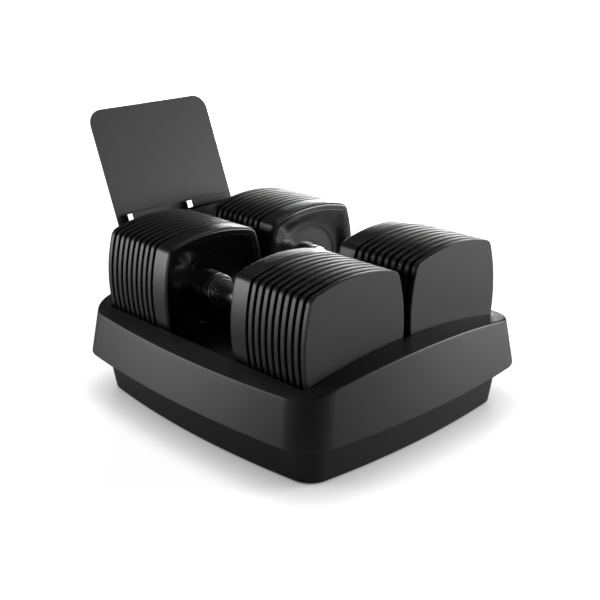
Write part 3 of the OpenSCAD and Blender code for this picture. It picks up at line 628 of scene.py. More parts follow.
BAR_BACK, BAR_TIP, BAR_HALF = 2.0, 9.5, 5.0
PLATE_THICK, LAST_PLATE_THICK, COVER_THICK = 7.6, 6.8, 2.4
FIRST_TICK, NEXT_TICK = -0.36 * HEAD_WIDTH, 0.072 * HEAD_WIDTH


def plate_mesh_into(shape, k, side, front):
    """One weight plate: rounded rim, thin web and a spacing boss round the hole."""
    head = bpy.context.scene.dumbbell_head
    y1 = span(f"plate_{side}_{k}", 1)[1]
    thick = PLATE_THICK if k < PLATES else LAST_PLATE_THICK
    y0 = y1 - thick
    pocket = (thick - head.web) / 2
    rim, boss = head.rim, head.boss / 2
    hole = (-BAR_TIP - 0.6, -BAR_BACK + 0.6, BAR_HALF + 0.6)
    reach = head.gap - 0.4
    rings = [upright(oblong_flat(*hole), y0 - reach + 0.4),
             upright(oblong_flat(*hole, grow=0.4), y0 - reach),
             upright(circle_flat(boss - 0.7), y0 - reach),
             upright(circle_flat(boss), y0 - reach + 0.7),
             upright(circle_flat(boss), y0 + pocket - 1.2),
             upright(circle_flat(boss + 0.4), y0 + pocket - 0.4),
             upright(circle_flat(boss + 1.3), y0 + pocket)]
    half = [(rim + 1.6, pocket), (rim + 0.5, pocket - 0.4), (rim, pocket - 1.1),
            (rim, 0.5), (rim - 0.5, 0.0)] + rounding(head.rim_round)
    rings += [upright(head_outline(-o), y0 + y) for o, y in half]
    rings += [upright(head_outline(-o), y1 - y) for o, y in reversed(half)]
    rings += [upright(circle_flat(boss + 1.3), y1 - pocket),
              upright(circle_flat(boss + 0.4), y1 - pocket + 0.4),
              upright(circle_flat(boss), y1 - pocket + 1.2),
              upright(circle_flat(boss), y1 - 0.5),
              upright(circle_flat(boss - 0.5), y1),
              upright(oblong_flat(*hole, grow=0.4), y1),
              upright(oblong_flat(*hole), y1 - 0.4)]
    place = placed(side, front)
    shape.loft(rings, closed=True, place=place)
    # a small inlaid tick on the rim's top, further along on each plate
    x = FIRST_TICK + NEXT_TICK * k
    ym = (y0 + y1) / 2
    turns = full_turn(20)

    def tick(grow, lift):
        px = x + (1.5 + grow) * np.cos(turns)
        py = ym + (0.75 + grow) * np.sin(turns)
        return np.stack([px, py, top_height(px) + lift], 1)
    shape.loft([tick(0, -0.6), tick(0, 0.02), tick(-0.12, 0.08), tick(-0.5, 0.1)],
               place=place, slot=1)


class BuildPlates(Operator):
    """Builds the nine weight steps of both dumbbells"""

    bl_idname = "dumbbell.build_plates"
    bl_label = "Weight plates"

    def execute(self, context):
        for side in SIDES:
            for k in range(1, PLATES + 1):
                shape = Shape()
                for front in (False, True):
                    plate_mesh_into(shape, k, side, front)
                piece(shape, f"weight_plates_{side}_{k}", f"plates_{side}_{k}",
                      ["plate_coat", "mark_paint"], f"plate_{side}_{k}", angle=50)
        return {"FINISHED"}


class BuildEndCovers(Operator):
    """Builds the flat covers on the outermost plates"""

    bl_idname = "dumbbell.build_end_covers"
    bl_label = "End covers"

    def execute(self, context):
        chamfer = context.scene.dumbbell_head.cover_chamfer
        for side in SIDES:
            shape = Shape()
            top = COVER_THICK
            start = span(f"end_covers_{side}", 1)[1] - top
            profile = [(30.0, 0.5), (12.0, 0.5), (12.0, 0.0), (2.2, 0.0),
                       (2.2, 0.5), (0.5, 0.5), (0.12, 0.62), (0.0, 0.9),
                       (0.0, top - chamfer - 0.12), (0.1, top - chamfer),
                       (chamfer - 0.1, top - 0.1), (chamfer + 0.1, top),
                       (chamfer + 2.5, top), (22.0, top), (44.0, top), (64.0, top)]
            for front in (False, True):
                rings = []
                for inset, y in profile:
                    flat = (head_outline(-inset) if inset <= 12 else
                            head_outline(-12) * (1 - (inset - 12) / (HEAD_WIDTH / 2 - 12)))
                    rings.append(upright(flat, start + y))
                shape.loft(rings, place=placed(side, front))
            # the cover finish paints a highlight along the chamfer with its bright edge tone
            piece(shape, f"end_cover_pair_{side}", f"plates_{side}_{PLATES}",
                  ["cover_plastic"], f"end_covers_{side}", angle=28)
        return {"FINISHED"}


# ---- handle


SHAFT_X, SHAFT_Y = -16.125, 90.0
CAP_SEAT = 2.2


def stadium(length, width, grow=0.0, along=14, round_steps=12):
    """A flat-sided oval about the origin, long in x, as N x 2 points."""
    half, radius = (length - width) / 2, width / 2 + grow
    right = arc_points((half, 0), radius, -90, 90, round_steps)
    left = arc_points((-half, 0), radius, 90, 270, round_steps)
    back = np.stack([np.linspace(half, -half, along + 1)[1:-1],
                     np.full(along - 1, radius)], 1)
    return np.concatenate([right, back, left, back * (-1, -1)])


class BuildHousings(Operator):
    """Builds the four lock housings with their bezels and cut-outs"""

    bl_idname = "dumbbell.build_housings"
    bl_label = "Lock housings"

    def execute(self, context):
        handle = context.scene.dumbbell_handle
        b, r = handle.bezel, handle.bezel_round
        deep = handle.dish_depth + 2.4
        depth = FACE_OUT - FACE_IN
        socket = (handle.grip - handle.grip_barrel) / 2 + 0.05
        rounds = rounding(r, 5)
        profile = ([(b + 0.5, deep), (b, deep - 0.5), (b, 0.9), (b - 0.25, 0.25),
                    (b - 0.9, 0.0)]
                   + [(o + 0.7, y) for o, y in rounds]
                   + [(0.75, r + 0.25), (1.3, r + 0.4), (1.3, r + 1.0),
                      (0.45, r + 1.15), (0.12, r + 1.35), (0.0, r + 1.7),
                      (0.0, depth - 1.2), (0.35, depth - 0.35), (1.2, depth),
                      (14.0, depth)])
        screw_x = handle.cap_length / 2 - handle.cap_width / 2 + 3
        mid_y = (FACE_IN + FACE_OUT) / 2
        for side in SIDES:
            for front in (False, True):
                place = placed(side, front)
                shape = Shape()
                rings = [upright(circle_flat(socket * 0.5), FACE_IN + deep + 0.2),
                         upright(circle_flat(socket), FACE_IN + deep + 0.2),
                         upright(circle_flat(socket), FACE_IN + deep)]
                rings += [upright(head_outline(-o), FACE_IN + y) for o, y in profile]
                rings += [upright(head_outline(-12) * f, FACE_OUT) for f in (0.7, 0.4)]
                shape.loft(rings, place=place)
                tool = Shape()
                hole = oblong_flat(-BAR_TIP - 0.4, -BAR_BACK + 0.4, BAR_HALF + 0.4)
                tool.loft([upright(hole, FACE_IN - 1), upright(hole, FACE_OUT + 1)],
                          place=place)
                low = -HEAD_HEIGHT / 2
                seat = stadium(handle.cap_length, handle.cap_width, 0.15) + (0, mid_y)
                floor = top_height(handle.cap_length / 2) - CAP_SEAT
                bores = [((SHAFT_X, SHAFT_Y), 9.3, low - 4, low + 16.4),
                         ((SHAFT_X, SHAFT_Y), 5.06, low + 16.3, 19.5)]
                for centre, radius, z0, z1 in bores:
                    upright_lathe(tool, [(radius, z0), (radius, z1)], centre, 48,
                                  place=place)
                tool.loft([level(seat, z) for z in (floor, HEAD_HEIGHT / 2 + 4)],
                          place=place)
                for x in (-screw_x, screw_x):
                    upright_lathe(tool, [(1.4, floor - 8), (1.4, floor + 0.1)],
                                  (x, mid_y), 48, place=place)
                end = "front" if front else "rear"
                node = f"housing_{end}_{side}"
                mesh = cut(shape.mesh(node), tool)
                inward = FACE_IN * (-1 if front else 1) * MM
                for face in mesh.polygons:
                    near = abs(face.center.y - inward) < 0.5 * MM
                    face.material_index = int(near and abs(face.normal.y) > 0.9)
                piece(mesh, f"lock_housing_{end}_{side}", f"handle_{side}",
                      ["housing_plastic", "dish_plastic"], node)
        return {"FINISHED"}


class BuildDishCovers(Operator):
    """Builds the glossy dished covers behind the collars"""

    bl_idname = "dumbbell.build_dish_covers"
    bl_label = "Dish covers"

    def execute(self, context):
        handle = context.scene.dumbbell_handle
        floor, deep = handle.dish_floor / 2, handle.dish_depth
        bore = handle.collar / 2 + 0.15
        edge = handle.bezel + 0.3
        for side in SIDES:
            shape = Shape()
            for front in (False, True):
                outer = head_outline(-edge - 0.7)
                inner = circle_flat(floor)
                rings = [upright(circle_flat(bore), FACE_IN + deep + 2.0),
                         upright(head_outline(-edge), FACE_IN + deep + 2.0),
                         upright(head_outline(-edge), FACE_IN + 1.0),
                         upright(head_outline(-edge - 0.2), FACE_IN + 0.6),
                         upright(head_outline(-edge - 0.7), FACE_IN + 0.5)]
                for t in np.linspace(0, 1, 15)[1:]:
                    ease = t * t * (3 - 2 * t)
                    sink = 0.5 + (deep - 1.5) * (0.45 * ease + 0.55 * math.sin(t * math.pi / 2))
                    rings.append(upright(outer + (inner - outer) * t, FACE_IN + sink))
                # a crisp step down to the round floor, then a slow rise to the collar
                rings += [upright(circle_flat(floor - 0.25), FACE_IN + deep - 0.9),
                          upright(circle_flat(floor - 0.5), FACE_IN + deep - 0.1),
                          upright(circle_flat(floor - 1.0), FACE_IN + deep)]
                for share in (0.25, 0.5, 0.75):
                    rings.append(upright(circle_flat(floor - 1 + share * (bore + 3 - floor)),
                                         FACE_IN + deep - 0.5 * share))
                rings += [upright(circle_flat(bore + 1.6), FACE_IN + deep - 0.6),
                          upright(circle_flat(bore + 0.3), FACE_IN + deep - 0.4),
                          upright(circle_flat(bore), FACE_IN + deep)]
                shape.loft(rings, closed=True, place=placed(side, front))
            piece(shape, f"dish_cover_pair_{side}", f"handle_{side}",
                  ["dish_plastic"], f"dish_covers_{side}", angle=42, weighted=False)
        return {"FINISHED"}


class BuildCollars(Operator):
    """Builds the polished collar rings at the ends of the grips"""

    bl_idname = "dumbbell.build_collars"
    bl_label = "Collars"

    def execute(self, context):
        handle = context.scene.dumbbell_handle
        r, reach = handle.collar / 2, handle.collar_reach
        ri = (handle.grip - handle.grip_barrel) / 2 + 0.05
        deep = handle.dish_depth + 2.0
        profile = [(ri, deep), (ri, -reach - 5.6), (ri + 0.3, -reach - 6.0),
                   (ri + 1.7, -reach - 6.0), (ri + 2.6, -reach - 5.6),
                   (ri + 3.0, -reach - 4.8), (ri + 3.0, -reach - 0.6),
                   (ri + 3.3, -reach), (r - 2.6, -reach), (r - 1.5, -reach + 0.2),
                   (r - 0.6, -reach + 0.8), (r - 0.1, -reach + 1.7), (r, -reach + 2.6),
                   (r, -reach + 6.3), (r - 0.25, -reach + 6.8), (r - 0.9, -reach + 7.1),
                   (r - 0.9, -reach + 8.3), (r - 0.25, -reach + 8.6), (r, -reach + 9.1),
                   (r, deep - 0.4), (r - 0.4, deep)]
        for side in SIDES:
            shape = Shape()
            for front in (False, True):
                lathe(shape, [(a, FACE_IN + y) for a, y in profile], 128,
                      placed(side, front))
            piece(shape, f"collar_pair_{side}", f"handle_{side}", ["collar_metal"],
                  f"collars_{side}", angle=32)
        return {"FINISHED"}


class BuildGrips(Operator):
    """Builds the knurled, barrelled grip tubes"""

    bl_idname = "dumbbell.build_grips"
    bl_label = "Grips"

    def execute(self, context):
        handle = context.scene.dumbbell_handle
        r0 = (handle.grip - handle.grip_barrel) / 2
        bore = r0 - 2.6
        end = FACE_IN + handle.dish_depth + 2.5
        free = FACE_IN - handle.collar_reach - 9
        around = handle.knurl_count * 4
        turns = full_turn(around)
        pitch = 2 * math.pi * r0 / handle.knurl_count
        rows = int(round(2 * free / (pitch / 4)))
        for side in SIDES:
            rings = []

            def ring(radius, y):
                radius = np.broadcast_to(radius, around)
                rings.append(np.stack([radius * np.cos(turns), np.full(around, y),
                                       radius * np.sin(turns)], 1))
            for radius, y in [(bore, end - 0.5), (bore, -end + 0.5),
                              (bore + 0.5, -end), (r0 - 0.4, -end), (r0, -end + 0.4),
                              (r0, -free - 2), (r0 + 0.02, -free - 1.2)]:
                ring(radius, y)
            for j in range(rows + 1):
                share = 2 * j / rows - 1
                y = share * free
                body = handle.grip / 2 - handle.grip_barrel / 2 * share ** 2
                phase = y / pitch * 2 * math.pi
                a = np.abs(np.sin((turns * handle.knurl_count + phase) / 2))
                b = np.abs(np.sin((turns * handle.knurl_count - phase) / 2))
                fade = min(1.0, (1 - abs(share)) * free / 3)
                ring(body - handle.knurl_depth * fade * (1 - np.minimum(a, b)), y)
            for radius, y in [(r0 + 0.02, free + 1.2), (r0, free + 2), (r0, end - 0.4),
                              (r0 - 0.4, end), (bore + 0.5, end)]:
                ring(radius, y)
            shape = Shape()
            shape.loft(rings, closed=True, place=placed(side, False))
            piece(shape, f"knurled_grip_{side}", f"handle_{side}", ["grip_steel"],
                  f"grip_{side}", angle=60, weighted=False)
        return {"FINISHED"}


class BuildCapStrips(Operator):
    """Builds the strips inlaid in the tops of the housings"""

    bl_idname = "dumbbell.build_cap_strips"
    bl_label = "Cap strips"

    def execute(self, context):
        handle = context.scene.dumbbell_handle
        length, width = handle.cap_length, handle.cap_width
        mid_y = (FACE_IN + FACE_OUT) / 2
        low = top_height(length / 2) - CAP_SEAT
        screw_x = length / 2 - width / 2 + 3
        for side in SIDES:
            meshes = []
            for front in (False, True):
                place = placed(side, front)
                shape = Shape()

                def ring(grow, drop):
                    flat = stadium(length, width, grow, along=26) + (0, mid_y)
                    return level(flat, low if drop is None
                                 else top_height(flat[:, 0], 0.35) - drop)
                rings = [ring(-0.15, None), ring(-0.15, 0.8), ring(-0.3, 0.3),
                         ring(-0.75, 0.0), ring(-1.8, 0.0), ring(-2.1, 0.22),
                         ring(-2.7, 0.22), ring(-3.0, 0.0)]
                rings += [ring(g, 0.0) for g in (-5.5, -8.0, -10.4)]
                shape.loft(rings, place=place)
                tool = Shape()
                for x in (-screw_x, screw_x):
                    for radius, z0, z1 in ((2.9, top_height(screw_x) - 1.1, 100.0),
                                           (1.5, low - 1, 99.0)):
                        upright_lathe(tool, [(radius, z0), (radius, z1)], (x, mid_y),
                                      40, place=place)
                meshes.append(cut(shape.mesh("cap_strip"), tool))
            piece(merged(meshes, "cap_strips"), f"cap_strip_pair_{side}",
                  f"handle_{side}", ["housing_plastic"], f"cap_strips_{side}")
        return {"FINISHED"}


# ---- tray


# points along a side and round a corner; bow lost for each mm of height; the base's
# share of the shell's bows; gap between the opening and what stands in it
PLAN_SIDE, PLAN_CORNER = 26, 14
SIDE_BOW_LOSS, FRONT_BOW_LOSS = 0.0836, 0.0111
BASE_SIDE_BOW, BASE_FRONT_BOW = 0.91, 0.71
OPENING_GAP = 2.0


def plan_loop(half_w, half_l, radius, bow_x, bow_y):
    """A rounded rectangle with bowed sides; sizes may differ point by point."""
    signs = [(1, 1), (-1, 1), (-1, -1), (1, -1)]
    now, nxt, share, turn = [], [], [], []
    for k in range(4):
        for i in range(PLAN_CORNER + PLAN_SIDE):
            now.append(signs[k])
            nxt.append(signs[(k + 1) % 4])
            share.append(max(0.0, (i - PLAN_CORNER) / PLAN_SIDE))
            turn.append(90 * k + 90 * min(i / PLAN_CORNER, 1.0))
    now, nxt = np.array(now, float), np.array(nxt, float)
    share, turn = np.array(share)[:, None], np.radians(turn)
    around = np.stack([np.cos(turn), np.sin(turn)], 1) * radius
    half = np.stack(np.broadcast_arrays(half_w, half_l, turn)[:2], 1)
    inner = half - radius
    flat = (now * inner + around) * (1 - share) + (nxt * inner + around) * share
    bow_x, bow_y = np.broadcast_to(bow_x, len(flat)), np.broadcast_to(bow_y, len(flat))
    x, y = flat[:, 0], flat[:, 1]
    w, l = half[:, 0], half[:, 1]
    return np.stack([
        x + np.sign(x) * bow_x * (1 - (y / l) ** 2) * np.minimum(np.abs(x) / w, 1),
        y + np.sign(y) * bow_y * (1 - (x / w) ** 2) * np.minimum(np.abs(y) / l, 1)], 1)


def tray_plan():
    """Half sizes of the tray: opening, and the shell's lower edge."""
    tray = bpy.context.scene.dumbbell_tray
    open_x = AXIS_X + HEAD_WIDTH / 2 + OPENING_GAP
    open_y = span("end_covers_b", 1)[1] + OPENING_GAP
    return (open_x, open_y, open_x + tray.ledge_side + tray.side_flare,
            open_y + tray.ledge_front + tray.front_flare)


def arch_height(x):
    """Height of the ledge at x."""
    tray = bpy.context.scene.dumbbell_tray
    open_x = tray_plan()[0]
    low = SHELL_HIGH - tray.crown
    return low + tray.crown * (1 - (x / (open_x + tray.ledge_side)) ** 2)


def wall_flat(z, offset):
    """Plan of the shell's outer wall at height z."""
    tray = bpy.context.scene.dumbbell_tray
    open_x, open_y, mid_x, mid_y = tray_plan()
    rim = SHELL_HIGH - tray.crown
    rise = z - SHELL_LOW
    bow_x = tray.side_bow - rise * SIDE_BOW_LOSS
    bow_y = tray.front_bow - rise * FRONT_BOW_LOSS
    slope_x = tray.side_flare / (rim - SHELL_LOW)
    slope_y = tray.front_flare / (SHELL_HIGH - SHELL_LOW)
    return plan_loop(mid_x - slope_x * rise - bow_x + offset,
                     mid_y - slope_y * rise - bow_y + offset,
                     tray.corner + offset * 0.6, bow_x, bow_y)


def base_flat(z, offset):
    """Plan of the base's outer wall at height z."""
    tray = bpy.context.scene.dumbbell_tray
    _, _, mid_x, mid_y = tray_plan()
    taper = tray.base_taper * (z - BASE_LOW) / (SHELL_LOW - BASE_LOW)
    return plan_loop(
        mid_x - tray.side_bow - tray.base_inset_side + taper + offset,
        mid_y - tray.front_bow - tray.base_inset_front + taper + offset,
        max(tray.base_corner + taper * 0.6 + offset * 0.6, 4.0),
        tray.side_bow * BASE_SIDE_BOW, tray.front_bow * BASE_FRONT_BOW)


def arched(flat, drop):
    return level(flat, arch_height(flat[:, 0]) - drop)


def crease_ring(offset, drop):
    """The wall where it meets a surface a little below the arched ledge."""
    rim = SHELL_HIGH - bpy.context.scene.dumbbell_tray.crown
    guess = wall_flat(rim + 10, offset)
    heights = arch_height(guess[:, 0]) - drop
    flat = wall_flat(heights, offset)
    return arched(flat, drop)


def wall_ring(rise, offset):
    return level(wall_flat(SHELL_LOW + rise, offset), SHELL_LOW + rise)


class BuildTrayShell(Operator):
    """Builds the flared upper shell with its arched ledge"""

    bl_idname = "dumbbell.build_tray_shell"
    bl_label = "Tray shell"

    def execute(self, context):
        wall = context.scene.dumbbell_tray.wall
        open_x, open_y = tray_plan()[:2]
        inner = plan_loop(open_x, open_y, 10.0, 0.0, 0.0)
        eased = plan_loop(open_x + 2.0, open_y + 2.0, 12.0, 0.0, 0.0)
        outer = plan_loop(open_x + wall, open_y + wall, 10.0 + wall, 0.0, 0.0)
        rings = [level(base_flat(SHELL_LOW, 0.3), SHELL_LOW),
                 wall_ring(0.0, -12.0), wall_ring(0.0, -2.2), wall_ring(0.12, -1.3),
                 wall_ring(0.6, -0.55), wall_ring(1.2, -0.15), wall_ring(2.0, 0.0)]
        low, high = wall_ring(2.0, 0.0), crease_ring(0.0, 2.8)
        rings += [low + (high - low) * t for t in (0.25, 0.5, 0.75)]
        rings += bezier(high, crease_ring(-0.2, 0.15), crease_ring(-3.0, 0.0), 6)
        edge = arched(eased, 0.0)
        rings += [crease_ring(-3.0, 0.0) * (1 - t) + edge * t for t in (0.35, 0.7)]
        rings += bezier(edge, arched(inner, 0.1), arched(inner, 2.0), 4)
        rings += [level(inner, DECK_TOP), level(outer, DECK_TOP),
                  arched(outer, wall + 1), crease_ring(-wall - 0.4, wall + 2),
                  wall_ring(wall + 2, -wall), wall_ring(wall, -wall - 2.0),
                  level(base_flat(SHELL_LOW + wall, 0.3), SHELL_LOW + wall)]
        shape = Shape()
        shape.loft(rings, closed=True)
        piece(shape, "upper_shell", "tray", ["shell_plastic"], "tray_shell", angle=48)
        return {"FINISHED"}


class BuildBasePan(Operator):
    """Builds the dark lower base with its posts and shadow line"""

    bl_idname = "dumbbell.build_base_pan"
    bl_label = "Base pan"

    def execute(self, context):
        top = SHELL_LOW + 10
        z0 = BASE_LOW

        def ring(z, offset):
            return level(base_flat(z, offset), z)
        rings = [ring(z0, -40.0), ring(z0, -6.0), ring(z0, -1.9),
                 ring(z0 + 0.12, -1.1), ring(z0 + 0.5, -0.5), ring(z0 + 1.0, -0.12),
                 ring(z0 + 1.7, 0.0), ring(z0 + 30, 0.0), ring(SHELL_LOW - 2.4, 0.0),
                 ring(SHELL_LOW - 2.1, -0.7), ring(SHELL_LOW - 1.2, -0.7),
                 ring(SHELL_LOW - 0.9, 0.0), ring(top - 0.4, 0.0),
                 ring(top, -0.4), ring(top, -2.6), ring(top - 0.4, -3.0),
                 ring(z0 + 8, -3.4), ring(z0 + 4.8, -4.4), ring(z0 + 4, -6.5),
                 ring(z0 + 4, -40.0)]
        shape = Shape()
        shape.loft(rings)
        tool = Shape()
        for x, y in post_places():
            upright_lathe(tool, [(3.9, z0 - 2), (3.9, z0 + 2.4)], (x, y), 40)
            upright_lathe(tool, [(1.8, z0 + 2.3), (1.8, z0 + 8)], (x, y), 24)
        self.inlet_hole(tool)
        mesh = cut(shape.mesh("base_pan"), tool)
        posts = Shape()
        for x, y in post_places():
            upright_lathe(posts, [(1.8, z0 + 4), (5.5, z0 + 4), (5.5, DECK_TOP - 4.6),
                                  (5.1, DECK_TOP - 4.1), (1.8, DECK_TOP - 4.1)],
                          (x, y), 40, closed=True)
        piece(merged([mesh, posts.mesh("posts")], "base_pan"), "lower_base", "tray",
              ["base_plastic"], "base_pan")
        return {"FINISHED"}

    def inlet_hole(self, tool):
        """Takes the power inlet's bore and its flange's flat seat out of the wall."""
        low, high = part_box("power_inlet")
        taper = bpy.context.scene.dumbbell_tray.base_taper
        lean = math.atan(taper / (SHELL_LOW - BASE_LOW))
        outward = Vector((0.0, math.cos(lean), -math.sin(lean)))
        x, z = (low.x + high.x) / 2 / MM, (BASE_LOW + SHELL_LOW) / 2
        face = Vector((x, high.y / MM, z)) - Vector((0.0, 8.0, 2.2)) * math.sin(lean)
        turn = np.array(Vector((0.0, 0.0, 1.0)).rotation_difference(outward).to_matrix())
        for radius, start in ((6.15, -12.0), (8.3, -1.4)):
            upright_lathe(tool, [(radius, start), (radius, 12.0)], (0, 0), 56,
                          place=lambda points: points @ turn.T + tuple(face))


def post_places():
    """Where the base's six screw posts stand."""
    open_x = tray_plan()[0]
    x, y = open_x - 24, FACE_IN - 28
    return [(x, y), (-x, y), (-x, -y), (x, -y), (0, y), (0, -y)]


class BuildFeet(Operator):
    """Builds the ribbed rubber feet"""

    bl_idname = "dumbbell.build_feet"
    bl_label = "Rubber feet"

    def execute(self, context):
        tray = context.scene.dumbbell_tray
        _, _, mid_x, mid_y = tray_plan()
        x = mid_x - tray.base_inset_side - tray.side_bow - 22
        y = mid_y - tray.base_inset_front - tray.front_bow - 22
        profile = [(3.0, 0.35), (3.4, 0.0), (5.0, 0.0), (5.4, 0.45), (6.6, 0.45),
                   (7.0, 0.0), (8.4, 0.0), (8.8, 0.45), (9.8, 0.45), (10.1, 0.05),
                   (11.0, 0.1), (11.6, 0.4), (12.0, 1.0), (12.0, BASE_LOW), (3.0, BASE_LOW)]
        shape = Shape()
        for sx, sy in ((1, 1), (-1, 1), (-1, -1), (1, -1), (1, 0), (-1, 0), (0, 0)):
            upright_lathe(shape, profile, (sx * x, sy * y), 56)
        piece(shape, "ribbed_feet", "tray", ["foot_rubber"], "rubber_feet")
        return {"FINISHED"}


# ---- controls


def soft_box(width, length, corner, count=10):
    """A rounded rectangle in plan with points along its sides."""
    flat = []
    for k, (sx, sy) in enumerate(((1, 1), (-1, 1), (-1, -1), (1, -1))):
        centre = (sx * (width / 2 - corner), sy * (length / 2 - corner))
        flat.append(arc_points(centre, corner, 90 * k, 90 * k + 90, count))
    return np.concatenate(flat)


class BuildConsole(Operator):
    """Builds the console, its display and its dial markings"""

    bl_idname = "dumbbell.build_console"
    bl_label = "Console"

    def execute(self, context):
        low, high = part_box("console_pod")
        width, length = (high.x - low.x) / MM, (high.y - low.y) / MM
        z0, z1 = low.z / MM, high.z / MM
        gy = middle_of("display_window", 1)
        knob_y = middle_of("selector_knob", 1)
        knob_r = size_of("selector_knob", 0) / 2
        shape = Shape()
        steps = [(0, 0, 14, 0), (0, 0, 14, 2.2), (-0.5, -0.5, 13.7, 2.9),
                 (-3.4, -3.4, 12.3, 3.2), (-4, -4, 12, 4.0), (-4, -4, 12, z1 - z0 - 3),
                 (-4.6, -4.6, 11.7, z1 - z0 - 1.4), (-6, -6, 11, z1 - z0 - 0.4),
                 (-8.4, -8.4, 10, z1 - z0), (-24, -24, 8, z1 - z0)]
        shape.loft([level(soft_box(width + w, length + l, r), z0 + z)
                    for w, l, r, z in steps])
        tool = Shape()
        seat = soft_box(width - 16, 34, 3) + (0, gy)
        tool.loft([level(seat, z1 - 1.6), level(seat, z1 + 3)])
        upright_lathe(tool, [(knob_r + 1.5, z1 - 0.8), (knob_r + 1.5, z1 + 3)],
                      (0, knob_y), 72)
        piece(cut(shape.mesh("console"), tool), "console_body", "tray",
              ["housing_plastic"], "console_pod")
        self.display(width, gy, z1)
        self.dial(knob_y, knob_r, z1)
        return {"FINISHED"}

    def display(self, width, gy, z1):
        shape = Shape()
        w, l = width - 16.3, 33.7
        shape.loft([level(soft_box(w - 2 * i, l - 2 * i, 2.85 - i * 0.6) + (0, gy), z)
                    for i, z in ((0, z1 - 1.6), (0, z1 - 0.35), (0.25, z1 - 0.12),
                                 (0.8, z1 - 0.1), (2.4, z1 - 0.1))])
        # plain seven-segment weight readout, two digits for each dumbbell
        lit = {"2": "abged", "0": "abcdef"}
        for cx in (-12.0, 12.0):
            for place, digit in ((-3.6, "2"), (3.6, "0")):
                for part in lit[digit]:
                    self.segment(shape, cx + place, gy, part, z1 - 0.1)
        piece(shape, "display_panel", "tray", ["display_glass", "mark_paint"],
              "display_window")

    def segment(self, shape, x, y, part, z):
        bars = {"a": (0, 5, 0), "g": (0, 0, 0), "d": (0, -5, 0), "b": (2.4, 2.5, 1),
                "c": (2.4, -2.5, 1), "e": (-2.4, -2.5, 1), "f": (-2.4, 2.5, 1)}
        dx, dy, upward = bars[part]
        long, thin = 1.95, 0.42
        bar = np.array([(long, 0), (long - thin, thin), (-long + thin, thin),
                        (-long, 0), (-long + thin, -thin), (long - thin, -thin)])
        bar = bar[:, ::-1] * (-1, 1) if upward else bar
        bar = bar + (x + dx, y + dy)
        shape.loft([level(bar, z - 0.05), level(bar, z + 0.04)], slot=1)

    def dial(self, knob_y, knob_r, z1):
        shape = Shape()
        for k in range(-6, 7):
            turn = math.radians(90 + 22.5 * k)
            long = 2.4 if k % 2 == 0 else 1.5
            mid = knob_r + 2.6 + long / 2
            bar = soft_box(0.55, long, 0.25, 3)
            c, s = math.cos(turn - math.pi / 2), math.sin(turn - math.pi / 2)
            bar = bar @ np.array([[c, s], [-s, c]])
            bar = bar + (mid * math.cos(turn), knob_y + mid * math.sin(turn))
            shape.loft([level(bar, z1 - 0.2), level(bar, z1 + 0.05)])
        piece(shape, "dial_marks", "tray", ["mark_paint"])


class BuildKnob(Operator):
    """Builds the fluted selector knob with its pointer"""

    bl_idname = "dumbbell.build_knob"
    bl_label = "Selector knob"

    def execute(self, context):
        y = middle_of("selector_knob", 1)
        radius = size_of("selector_knob", 0) / 2
        top = span("selector_knob", 2)[1]
        foot = span("console_pod", 2)[1] - 0.5
        turns = full_turn(240)
        shape = Shape()

        def ring(r, z, flute=0.0):
            wave = np.maximum(np.cos(turns * 30), 0) ** 1.5
            r = r - flute * wave
            return level(np.stack([r * np.cos(turns), y + r * np.sin(turns)], 1), z)
        rings = [ring(4.0, foot - 7.5), ring(4.0, foot), ring(radius - 0.5, foot),
                 ring(radius, foot + 0.4), ring(radius, foot + 1.3),
                 ring(radius, foot + 1.9, 0.8), ring(radius, top - 3.4, 0.9),
                 ring(radius - 0.1, top - 2.6, 0.5), ring(radius - 0.35, top - 1.7),
                 ring(radius - 0.9, top - 0.7), ring(radius - 1.8, top - 0.15),
                 ring(radius - 2.8, top), ring(radius - 3.4, top - 0.1),
                 ring(radius - 3.9, top - 0.6), ring(radius - 6.0, top - 0.75),
                 ring(radius * 0.35, top - 0.75), ring(radius * 0.1, top - 0.75)]
        shape.loft(rings)
        bar = soft_box(1.2, 5.0, 0.55, 5) + (0, y + radius - 7.2)
        shape.loft([level(bar, top - 0.9), level(bar, top - 0.7),
                    level((bar - bar.mean(0)) * 0.8 + bar.mean(0), top - 0.64)], slot=1)
        piece(shape, "fluted_knob", "knob", ["knob_metal", "mark_paint"],
              "selector_knob", angle=35)
        return {"FINISHED"}


# ---- tablet stand


def stand_place():
    """Moves points from the leaning plate's own plane to the row frame."""
    stand, tray = bpy.context.scene.dumbbell_stand, bpy.context.scene.dumbbell_tray
    y0 = tray_plan()[3] - tray.front_flare + 3.9
    z0 = SHELL_HIGH + 13.3
    turn = np.array(Matrix.Rotation(-stand.lean, 3, "X"))

    def move(points):
        return np.asarray(points) @ turn.T + (0.0, y0, z0)
    return move


